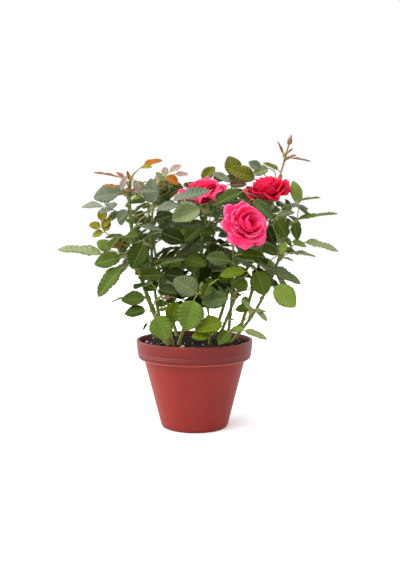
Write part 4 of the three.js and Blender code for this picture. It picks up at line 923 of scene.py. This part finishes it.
for number, cane in enumerate(CANES):
    bloom = next((name for name in BLOOMS if BLOOMS[name][0] == cane), None)
    t = np.linspace(0, STEM_END if bloom else 1, STEM_ROWS)
    path, radii = on_cane(cane, t), cane_radius(cane, t)
    path[0, 2] -= SUNK
    own = [leaf for leaf in grown if leaf["cane"] == cane]
    swell = sum(NODE_SWELL * np.exp(-(((t - leaf["t"]) / NODE_LENGTH) ** 2)) for leaf in own)
    flare = FOOT_FLARE * np.exp(-(path[:, 2] - SOIL_TOP) / 3.0)
    radii = radii * (1 + np.minimum(swell, 0.3) + flare)
    if bloom:
        stalk = flower_stalk(bloom)
        path = np.concatenate([path, stalk])
        radii = np.concatenate([radii, np.linspace(cane_radius(cane, STEM_END), STALK_TOP, len(stalk))])
    a = np.linspace(0, 2 * np.pi, STEM_SIDES, endpoint=False)
    run = path[:, 2:]
    ribs = 1 + 0.04 * np.sin(5 * a + np.sin(run / 9 + number)) + 0.03 * np.sin(run / 1.9 + 2 * a + number)
    stem = tubes(path[None], (radii[:, None] * ribs)[None], STEM_SIDES, SIDEWAYS)
    at = chance.uniform(0.08, 0.8, PRICKLES)
    foot = on_cane(cane, at)
    way = unit(on_cane(cane, at + 0.01) - foot)
    turn = chance.uniform(0, 2 * np.pi, (PRICKLES, 1))
    side = square_to(np.broadcast_to(SIDEWAYS, way.shape), way)
    out = spokes(side, np.cross(way, side), turn)
    root = foot + out * cane_radius(cane, at)[:, None] * 0.8
    long = chance.uniform(1.6, 2.8, (PRICKLES, 1))
    hook = np.stack([root, root + out * long * 0.6 - way * 0.2, root + out * long - way * long * 0.45], 1)
    thorns = tubes(hook, np.tile([0.75, 0.35, 0.04], (PRICKLES, 1)), 5, [0.1, 0.2, 1.0])
    points, faces, source = joined(stem, thorns)
    limb = piece(f"stem_{cane}", points, faces, [wood, prickle], source)
    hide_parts("cane_" + cane)

# ---- leaf stalks ----
# Each leaf hangs on a thin stalk, green with a pink blush, whose leaflets stand on short stalks of their
# own. Two narrow wings clasp its foot.
STALK_POINTS = 18
# A stalk's radius at shares of its length: thick at its foot, thin under the end leaflet.
STALK_RADII = [(0, 1.25), (0.12, 0.95), (0.3, 0.72), (1, 0.5)]
WING_LENGTH = 8.0
WING_WIDTH = 1.9
WING_THICK = 0.25
stalk_skin, tree, shader = finish("leaf_stalk", "#8C9648", 0.5, 1.45)
mottle(tree, shader, ["#667A30", "#828C44", "#A07A54"], 14, 0.5)


def grid_faces(points):
    """Faces between the neighbours of a grid of point numbers."""
    return np.stack([points[:-1, :-1], points[:-1, 1:], points[1:, 1:], points[1:, :-1]], -1).reshape(-1, 4)


def thin_sheets(upper, thick):
    """Thin closed sheets from their upper grids of points: the lower grid lies thick below along the
    sheet's own upright, and both share their edge. Rows run along the sheet and columns across it."""
    n, rows, columns = upper.shape[:3]
    upright = unit(np.cross(np.gradient(upper, axis=2), np.gradient(upper, axis=1)))
    lower = (upper - upright * np.asarray(thick)[..., None])[:, 1:-1, 1:-1].reshape(n, -1, 3)
    points = np.concatenate([upper.reshape(n, -1, 3), lower], 1)
    top = np.arange(rows * columns).reshape(rows, columns)
    under = top.copy()
    inner = np.arange((rows - 2) * (columns - 2)).reshape(rows - 2, columns - 2)
    under[1:-1, 1:-1] = rows * columns + inner
    faces = np.concatenate([grid_faces(top), grid_faces(under)[:, ::-1]])
    return points.reshape(-1, 3), repeated(faces, n, points.shape[1])


def resampled(path, count):
    """A path brought to count points at equal steps along it."""
    run = np.concatenate([[0], np.cumsum(np.linalg.norm(np.diff(path, axis=0), axis=1))])
    at = np.linspace(0, run[-1], count)
    return np.stack([np.interp(at, run, path[:, k]) for k in range(3)], 1)


for cane in CANES:
    own = [leaf for leaf in grown if leaf["cane"] == cane]
    paths = np.stack([resampled(leaf["stalk"], STALK_POINTS) for leaf in own])
    for _ in range(3):
        paths[:, 1:-1] = (paths[:, :-2] + 2 * paths[:, 1:-1] + paths[:, 2:]) / 4
    tops = np.stack([leaf["face"][-1] for leaf in own])[:, None]
    thick = np.interp(np.linspace(0, 1, STALK_POINTS), *zip(*STALK_RADII))
    bars = tubes(paths, np.tile(thick, (len(own), 1)), 6, tops)
    root, way, face = (np.concatenate([leaf[k] for leaf in own]) for k in ("root", "way", "face"))
    short = np.stack([root - way * 1.3, root, root + way * 2.0], 1)
    feet = tubes(short, np.tile([0.55, 0.5, 0.3], (len(root), 1)), 5, face[:, None])
    ways = unit(paths[:, 2] - paths[:, 0])
    sides = np.cross(ways, square_to(tops[:, 0], ways))
    u, s = np.linspace(0, 1, 8)[None, :, None], np.array([-1, -0.3, 0.3, 1.0])
    outer = s * 0.5 + 0.5
    wings = []
    for hand in (-1, 1):
        swing = np.sin(np.pi * np.clip(u * 0.9 + 0.08, 0, 1))
        across = hand * (0.5 + WING_WIDTH * swing * outer * (1 + 0.5 * u**3))
        along = 1.0 + WING_LENGTH * u + 0 * s
        lift = 0.3 + 0.3 * outer + 0 * u
        grid = laid_out(paths[:, 0], ways, sides, np.cross(sides, ways), along, across, lift)
        wings.append(thin_sheets(grid[:, :, ::hand], np.float64(WING_THICK)))
    points, faces, _ = joined(bars, feet, *wings)
    stalks = piece(f"stalks_{cane}", points, faces, [stalk_skin])

# ---- leaves ----
# Rose leaflets: thin oval blades with a toothed edge, a pale midrib and side veins that quilt the blade
# between them. Old leaves are dark green, some with a grey sheen painted into their colour, young ones fresh
# green, bronze or orange.
BLADE_ROWS = 26
BLADE_COLUMNS = np.array([-1, -0.7, -0.36, -0.03, 0.03, 0.36, 0.7, 1])
BLADE_THICK = 0.4
MIDRIB_WIDTH = 0.15  # as a share of the half width
MIDRIB_DEPTH = 0.3
TOOTH_LENGTH = 0.008
TOOTH_WIDTH = 0.045
# Leaf skin: a waxy cuticle over soft tissue, half glossy above and matt below. Each kind of leaf has its
# light and its dark colour.
LEAF_COLOURS = {
    "deep": ("#2C3A0E", "#1E2904"),
    "mid": ("#3E5010", "#31400A"),
    "soft": ("#50641C", "#425414"),
    "clear": ("#64782E", "#566A24"),
    "light": ("#788C3C", "#6A7E30"),
    "fresh": ("#5E7010", "#50620A"),
    "dusk": ("#4A5C28", "#3C4C1E"),
    "sage": ("#56633C", "#48542F"),
    "grey": ("#606952", "#515B43"),
    "silver": ("#7E866E", "#6C745E"),
    "olive": ("#6A6C22", "#5A5C1A"),
    "pale": ("#7E8A58", "#707C4A"),
    "yellow": ("#948C20", "#7E7018"),
    "brown": ("#76692E", "#685224"),
    # A brown darkened further as painted shade, for the leaf that lies under the olive leaves.
    "shaded_russet": ("#54402A", "#44321E"),
    "mauve": ("#A48D7E", "#8C7466"),
    "bronze": ("#96604A", "#7A4634"),
    "orange": ("#AC6412", "#8C4C0C"),
}
# The grey-green colours of these kinds are a painted sheen; they are also given more gloss.
PAINTED_SHEEN_KINDS = ("grey", "silver", "pale", "sage", "dusk")  # kinds with a grey sheen
skins = {}
for name, (light, dark) in LEAF_COLOURS.items():
    gloss = 0.3 if name in PAINTED_SHEEN_KINDS else 0.1
    skins[name], tree, shader = finish("leaf_" + name, light, 0.36, 1.45, Specular_IOR_Level=gloss)
    mottle(tree, shader, [dark, light], 5.0, 0.6)
under_skin, tree, shader = finish("leaf_underside", "#7C8A54", 0.6, 1.4)
mottle(tree, shader, ["#73824C", "#8A9664"], 5.0, 0.6)
young_under, tree, shader = finish("young_leaf_underside", "#A8795C", 0.6, 1.4)
mottle(tree, shader, ["#9A6C50", "#B68A6C"], 5.0, 0.6)
rib_skin, tree, shader = finish("leaf_midrib", "#66743A", 0.5, 1.45)
leaf_materials = [*skins.values(), under_skin, young_under, rib_skin]
leaf_slots = {name: k for k, name in enumerate(skins)}
GREENS = ["deep", "mid", "mid", "soft"]  # what a green leaf of the spirals may be
YOUNG_KINDS = ("bronze", "orange", "mauve")


def leaf_blades(root, way, face, length, width, chances):
    """Upper grids of leaflets, from (u, s): the outline is half_width, with the rows leading forward to the
    edge as the veins do. Every third row is a vein that lies low and the blade swells between; each second
    row ends in a tooth. The sides fold up, the tip curls down, and chance gives a wave and a twist."""
    s = BLADE_COLUMNS[None]
    row = np.arange(BLADE_ROWS)[:, None]
    base = row / (BLADE_ROWS - 1)
    bulge = np.sin(np.pi * base)
    tooth = np.where(np.abs(s) == 1, np.where(row % 2 == 0, 1, -1) * bulge**0.5, 0)
    u = np.clip(base + 0.15 * np.abs(s) * bulge**0.8 + TOOTH_LENGTH * tooth, 0, 1)
    across = s * np.maximum(half_width(u), 0.025) * (1 + TOOTH_WIDTH * tooth)
    vein = -np.cos(2 * np.pi * (row - 1) / 3) * np.abs(s) * (1.25 - np.abs(s)) * 2.56 * bulge**0.5
    size = length[:, None, None]
    half = size * width[:, None, None] / 2
    wave = np.sin(2 * np.pi * (1.4 * u + chances[:, 0, None, None])) * np.abs(across) * across
    twist = (chances[:, 1, None, None] - 0.5) * u * across
    lift = (
        np.abs(across) * half * FOLD
        - CURL * size * u**2
        + (0.019 + 0.015 * chances[:, 2, None, None]) * size * vein
        - MIDRIB_DEPTH * np.exp(-((s / MIDRIB_WIDTH) ** 2)) * bulge
        + 0.035 * size * wave
        + 0.09 * size * twist
    )
    return laid_out(root, way, np.cross(way, face), face, size * u, half * across, lift)


def sheet_marks(across):
    """Places (across, along) of a thin sheet's points, first those above and then those below within its
    edge, from the marks across given row by row."""
    along = np.broadcast_to(np.linspace(0, 1, len(across))[:, None], across.shape)
    above = np.stack([across, along], -1)
    return np.concatenate([above.reshape(-1, 2), above[1:-1, 1:-1].reshape(-1, 2)])


blade_marks = sheet_marks(np.tile(BLADE_COLUMNS * 0.5 + 0.5, (BLADE_ROWS, 1)))
across_faces = len(BLADE_COLUMNS) - 1
on_midrib = np.arange((BLADE_ROWS - 1) * across_faces) % across_faces == across_faces // 2
midrib_slot = leaf_materials.index(rib_skin)
blade_thick = BLADE_THICK * (1 + 1.2 * np.exp(-((BLADE_COLUMNS / MIDRIB_WIDTH) ** 2)))
for cane in CANES:
    own = [leaf for leaf in grown if leaf["cane"] == cane]
    parts = [np.concatenate([leaf[name] for leaf in own]) for name in BLADE_PARTS]
    counts = [len(leaf["root"]) for leaf in own]
    steps = np.concatenate([np.arange(count) * 0.71 for count in counts])
    seeds = np.repeat([leaf["seed"] for leaf in own], counts) + steps
    chances = np.stack([draw(seeds, 91), draw(seeds, 92), draw(seeds, 93)], 1)
    grids = leaf_blades(*parts, chances)
    points, faces = thin_sheets(grids, np.broadcast_to(blade_thick, grids.shape[:3]))
    kinds = []
    for leaf in own:
        green = GREENS[int(draw(leaf["seed"], 55) * len(GREENS))]
        kinds.append(green if leaf["kind"] == "green" else leaf["kind"])
    top_slot = np.repeat([leaf_slots[kind] for kind in kinds], counts)[:, None]
    young = np.repeat([kind in YOUNG_KINDS for kind in kinds], counts)[:, None]
    back_slot = np.where(young, leaf_materials.index(young_under), leaf_materials.index(under_skin))
    above = np.where(on_midrib, midrib_slot, top_slot)
    below = np.where(on_midrib, midrib_slot, back_slot)
    used, slots = np.unique(np.concatenate([above, below], 1).ravel(), return_inverse=True)
    marks = np.tile(blade_marks, (len(grids), 1))
    leaves = piece(f"leaves_{cane}", points, faces, [leaf_materials[k] for k in used], slots, marks)
    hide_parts("foliage_" + cane)

# ---- the blooms ----
# Double rose flowers, 54 to 60 mm across, of about forty petals. The petals stand in rings, tight in the
# eye and laid open at the rim, each with its edges rolled back to a point. Below is a green hip with its
# sepals.
PETAL_ROWS = 15
PETAL_COLUMNS = 11
PETAL_THICK = 0.55
# Rings of petals from the eye outwards: how many, the ring's share of the bloom's radius, and its turn in
# petals of its own.
EYE_RINGS = [(3, 0.04, 0.0), (4, 0.13, 0.3), (5, 0.25, 0.1), (5, 0.38, 0.5), (6, 0.52, 0.2)]
OPEN_RINGS = [*EYE_RINGS, (6, 0.68, 0.5), (7, 0.85, 0.45), (8, 1.0, 0.0)]
# The right bloom is still cupped, and its outer petals are few and broad.
CUPPED_RINGS = [*EYE_RINGS, (5, 0.66, 0.5), (5, 0.84, 0.1), (5, 1.0, 0.55)]
RINGS = {"front": OPEN_RINGS, "right": CUPPED_RINGS, "left": OPEN_RINGS}
# Where each bloom's eye stands off its axis, as shares of its radius along its two ways across.
EYES = {"front": (-0.24, -0.06), "right": (0.08, 0.1), "left": (-0.1, 0.05)}


def petal_grids(bloom, ring, turn, span, chances):
    """Upper grids of petals, from (u, s). In the plane of out and up a petal is a curve of second degree
    from the cup over a bend to its tip, highest in the eye and level at the rim; its sides are shorter than
    its middle and roll back, one edge lies over the next petal, and the rim waves a little."""
    _, _, _, radius, wide_open, _ = BLOOMS[bloom]
    centre, f, e, g = bloom_axes(bloom)
    eye = (e * EYES[bloom][0] + g * EYES[bloom][1]) * radius * (1 - ring[:, None, None, None])
    ring, turn, span = (np.asarray(k)[:, None, None] for k in (ring, turn, span))
    u = np.linspace(0, 1, PETAL_ROWS)[None, :, None]
    s = np.linspace(-1, 1, PETAL_COLUMNS)[None, None]
    w = u * (1 - 0.06 * s * s - (0.05 + 0.2 * ring) * np.abs(s))
    tip_out = 0.22 + 0.78 * ring
    tip_up = 0.34 - (0.3 + 0.14 * wide_open) * ring**1.3
    bend_out = 0.1 + 0.62 * tip_out
    bend_up = -0.05 - 0.25 * ring + 0.38 * wide_open * ring
    out = 0.1 * (1 - w) ** 2 + 2 * bend_out * w * (1 - w) + tip_out * w * w
    up = -0.5 * (1 - w) ** 2 + 2 * bend_up * w * (1 - w) + tip_up * w * w
    late = np.clip((u - 0.45) / 0.55, 0, 1)
    roll = (0.05 + 0.16 * ring) * late**1.5 * np.abs(s) ** 2.5
    lip = (0.02 + 0.05 * ring) * np.clip((u - 0.75) / 0.25, 0, 1) ** 2
    phase, outward, upward = chances.T[:, :, None, None]
    ruffle = 0.034 * late * np.sin(2.5 * np.pi * s + phase * 2 * np.pi)
    loose = 1 - np.abs(2 * ring - 1) ** 4
    overlap = 0.035 * s * (0.3 + u)
    out = out + overlap + roll * 0.35 + (outward - 0.5) * (0.07 + 0.09 * loose) * u
    up = up - roll - lip + ruffle + (upward - 0.5) * (0.06 + 0.1 * loose) * u
    narrow = 1 - (0.1 + 0.38 * ring) * late**2
    angle = turn + s * span * np.sin(np.pi * np.minimum(0.5, 0.12 + 0.55 * u)) * narrow
    along = spokes(e, g, angle[..., None])
    return centre + eye * u[..., None] + f * (up * radius)[..., None] + along * (out * radius)[..., None]


def about_bloom(bloom, profile, sides=24):
    """A profile of (radius, height), as shares of the bloom's radius, turned about the bloom's axis."""
    points, faces = turned(np.array(profile), sides)
    centre, f, e, g = bloom_axes(bloom)
    radius = BLOOMS[bloom][3]
    x, y, z = (points * radius).T[..., None]
    return centre + f * z + g * y + e * x, faces


# The solid heart that the petals stand on and the green hip under it, as profiles of (radius, height) in
# shares of the bloom's radius.
CUP = [
    (0.02, -0.56), (0.2, -0.54), (0.36, -0.44), (0.42, -0.3),
    (0.4, -0.12), (0.3, 0.0), (0.15, 0.05), (0.02, 0.06),
]
HIP = [
    (0.01, -0.98), (0.06, -0.97), (0.12, -0.93), (0.16, -0.82),
    (0.17, -0.72), (0.155, -0.62), (0.15, -0.55), (0.01, -0.5),
]
# Petal flesh: velvety and without gloss, deep red towards its foot, partly its own colour and partly painted
# shade between the crowded petals, and pale along the very edge of its tip as a painted highlight on the lit
# rims. The colours go from foot to tip, each at its share of the way.
PETAL_STOPS = (0.2, 0.5, 0.86, 0.99)
PETAL_COLOURS_WITH_PAINTED_LIGHT = {
    "front": ("#BA0A3A", "#EC2458", "#F0306A", "#FF6E9A"),
    "right": ("#8E0418", "#C80826", "#CE0E2A", "#E83450"),
    "left": ("#A8062E", "#DE1846", "#EA3062", "#FA6488"),
}
BACK_STOPS = (0.2, 0.95)
PETAL_BACKS = {
    "front": ("#C00C3C", "#EC3468"),
    "right": ("#A81238", "#CC2048"),
    "left": ("#B40C38", "#E0305C"),
}
SEPALS = 5
# Hip and sepals: smooth green skin, half glossy.
hip_skin, tree, shader = finish("hip_and_sepals", "#8FA358", 0.5, 1.45)
mottle(tree, shader, ["#7C9448", "#A6B473"], 6.0, 0.6)
for bloom, (_, _, _, radius, _, seed) in BLOOMS.items():
    petal_skins = []
    for side_name, colours, stops in (
        ("petal", PETAL_COLOURS_WITH_PAINTED_LIGHT[bloom], PETAL_STOPS),
        ("petal_back", PETAL_BACKS[bloom], BACK_STOPS),
    ):
        skin, tree, shader = finish(f"{side_name}_{bloom}", colours[-1], 0.75, 1.4, Specular_IOR_Level=0.1)
        # Along each petal's face, the dark foot is partly painted shade and the pale tip edge is a painted
        # highlight.
        place = add(tree, "UVMap", uv_map="place").outputs[0]
        along = add(tree, "SeparateXYZ", links={"Vector": place})
        ramp = add(tree, "ValToRGB", links={"Fac": along.outputs["Y"]})
        set_colours(ramp, stops, colours)
        tree.links.new(ramp.outputs["Color"], shader.inputs["Base Color"])
        petal_skins.append(skin)
    number, count, ring, shift = np.array([(k, n, r, t) for n, r, t in RINGS[bloom] for k in range(n)]).T
    seeds = seed + 1.3 * np.arange(len(ring))
    chances = np.stack([draw(seeds, 1), draw(seeds, 2), draw(seeds, 3)], 1)
    turn = (number + shift) * 2 * np.pi / count + (draw(seeds, 4) - 0.5) * 0.34
    span = (1.45 + 0.25 * (1 - ring)) * np.pi / count * (1 + (draw(seeds, 5) - 0.5) * 0.24)
    grids = petal_grids(bloom, ring, turn, span, chances)
    sheets = thin_sheets(grids, PETAL_THICK)
    cup = about_bloom(bloom, CUP)
    points, faces, _ = joined(sheets, cup)
    faces_each_side = (PETAL_ROWS - 1) * (PETAL_COLUMNS - 1)
    slots = np.tile(np.repeat([0, 1], faces_each_side), len(ring))
    slots = np.concatenate([slots, np.zeros(len(cup[1]), int)])
    petal_marks = sheet_marks(np.tile(np.linspace(0, 1, PETAL_COLUMNS), (PETAL_ROWS, 1)))
    marks = np.concatenate([np.tile(petal_marks, (len(ring), 1)), np.full((len(cup[0]), 2), 0.1)])
    rose = piece(f"petals_{bloom}", points, faces, petal_skins, slots, marks)
    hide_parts("rose_" + bloom)
    centre, f, e, g = bloom_axes(bloom)
    out = spokes(e, g, np.arange(SEPALS)[:, None] * 2 * np.pi / SEPALS + 0.3)
    way = unit(out - f * 0.2)
    face = square_to(np.broadcast_to(f, out.shape), way)
    root = centre + out * 0.1 * radius - f * 0.62 * radius
    long = 0.62 * radius
    u, s = np.linspace(0, 1, 12)[None, :, None], np.linspace(-1, 1, 5)
    wide = 0.17 * np.sin(np.pi * (0.12 + 0.88 * u) ** 0.8) ** 0.9 * (1 - 0.5 * u) + 0.012
    lift = long * (0.25 * wide * s**2 - 0.18 * u**2)
    grid = laid_out(root, way, np.cross(way, face), face, long * u + 0 * s, long * wide * s, lift)
    points, faces, _ = joined(about_bloom(bloom, HIP, 20), thin_sheets(grid, 0.5))
    greens = piece(f"hip_{bloom}", points, faces, [hip_skin])

# ---- the bud ----
# A closed flower bud at the end of its shoot: a slim egg wrapped in long pointed sepals, red-brown.
# The egg is given as (height over the shoot's end, radius), and a sepal as (height, distance from the
# egg's axis, radius).
EGG = [
    (-1, 0.8), (0, 1.0), (1, 1.6), (2.2, 2.2), (3.6, 2.45),
    (5, 2.2), (6.4, 1.6), (7.6, 0.95), (8.6, 0.3),
]
BUD_SEPAL = [
    (0.6, 1.5, 0.5), (2.4, 2.5, 0.6), (4.6, 2.6, 0.5),
    (7.0, 1.6, 0.4), (9.4, 1.1, 0.3), (11.6, 1.5, 0.12),
]
bud_skin, tree, shader = finish("bud_and_its_sepals", "#80603C", 0.5, 1.45)
mottle(tree, shader, ["#6C4A2E", "#8C683E", "#6E7038"], 4.0, 0.6)
tip = on_cane("bud", 1.0)
way = unit(tip - on_cane("bud", 0.97))
height, radius = np.array(EGG).T
egg = tubes((tip + way * height[:, None])[None], radius[None], 12, SIDEWAYS)
side = square_to(SIDEWAYS, way)
out = spokes(side, np.cross(way, side), np.arange(SEPALS)[:, None] * 2 * np.pi / SEPALS)
height, off, radius = np.array(BUD_SEPAL).T
sepal_paths = tip + way * height[None, :, None] + out[:, None] * off[None, :, None]
sepals = tubes(sepal_paths, np.tile(radius, (SEPALS, 1)), 6, way[None, None] * 0.2 + out[:, None])
points, faces, _ = joined(egg, sepals)
bud = piece("bud_flower", points, faces, [bud_skin])

# ---- the camera ----
# It stands 835 mm before the plant, a little above its middle, and looks slightly down.
camera = bpy.data.objects.new("camera", bpy.data.cameras.new("camera"))
camera.data.lens = 47.52
camera.data.sensor_width = 36
camera.location = (0.0061, -0.8347, 0.2242)
camera.rotation_euler = (np.pi / 2 - 0.0790, 0, 0)
bpy.context.scene.collection.objects.link(camera)
bpy.context.scene.camera = camera

# ---- the floor and the light ----
# A white floor under soft studio light: a wide key from the upper left, an overhead panel, a tall panel at
# each side and even light from all round. The floor gives back less light than it shows.
FLOOR_REACH = 3000.0
FLOOR_DROP = 0.05
x = FLOOR_REACH * np.array([-1, 1, 1, -1.0])
y = FLOOR_REACH * np.array([-1, -1, 1, 1.0])
floor_paint, tree, shader = finish("floor_paint", "#F2F2F2", 0.9)
seen = add(tree, "LightPath").outputs["Is Camera Ray"]
white = add(tree, "MapRange", {"To Min": 0.5, "To Max": 0.97}, {"Value": seen})
tree.links.new(white.outputs[0], shader.inputs["Base Color"])
corners = np.stack([x, y, np.full(4, -FLOOR_DROP)], 1)
floor = piece("floor", corners, np.array([[0, 1, 2, 3]]), [floor_paint])

# Each lamp: its turn about X, Y and Z in degrees, its strength, and how many degrees wide it looks.
LAMPS = {"key": ((34, -26, -20), 2.2, 60), "overhead": ((8, 0, 0), 1.6, 80)}
for name, (turn, strength, angle) in LAMPS.items():
    lamp = bpy.data.lights.new(name, "SUN")
    lamp.energy = strength
    lamp.angle = np.radians(angle)
    light = bpy.data.objects.new(name, lamp)
    light.rotation_euler = np.radians(turn)
    bpy.context.scene.collection.objects.link(light)

# The light from all round, as panels along an axis of the way it comes from: where a panel begins and where
# it is full, from -1 to 1, and its strength at both.
PANELS = [
    ("Z", -0.2, 0.9, 0.24, 0.78),  # the ceiling, stronger the higher it is
    ("Y", -0.6, 0.7, 0.0, 0.45),  # the white wall behind
    ("X", -0.35, -0.95, 0.0, 2.3),  # the left panel
    ("X", 0.55, 1.0, 0.0, 1.0),  # the right panel
]
world = bpy.data.worlds.new("studio")
world.use_nodes = True
bpy.context.scene.world = world
tree = world.node_tree
way = add(tree, "SeparateXYZ", links={"Vector": add(tree, "TexCoord").outputs["Generated"]})
panels = []
for axis, begins, full, least, most in PANELS:
    limits = {"From Min": begins, "From Max": full, "To Min": least, "To Max": most}
    panels.append(add(tree, "MapRange", limits, {"Value": way.outputs[axis]}).outputs[0])
total = panels[0]
for panel in panels[1:]:
    total = add(tree, "Math", links={0: total, 1: panel}, operation="ADD").outputs[0]
around = tree.nodes["Background"]
around.inputs["Color"].default_value = (1, 1, 1, 1)
tree.links.new(total, around.inputs["Strength"])
backdrop = add(tree, "Background", {"Color": (1, 1, 1, 1), "Strength": 1.0})
from_camera = add(tree, "LightPath").outputs["Is Camera Ray"]
mixed = add(tree, "MixShader", links={0: from_camera, 1: around.outputs[0], 2: backdrop.outputs[0]})
tree.links.new(mixed.outputs[0], tree.nodes["World Output"].inputs["Surface"])
bpy.context.scene.view_settings.view_transform = "Standard"
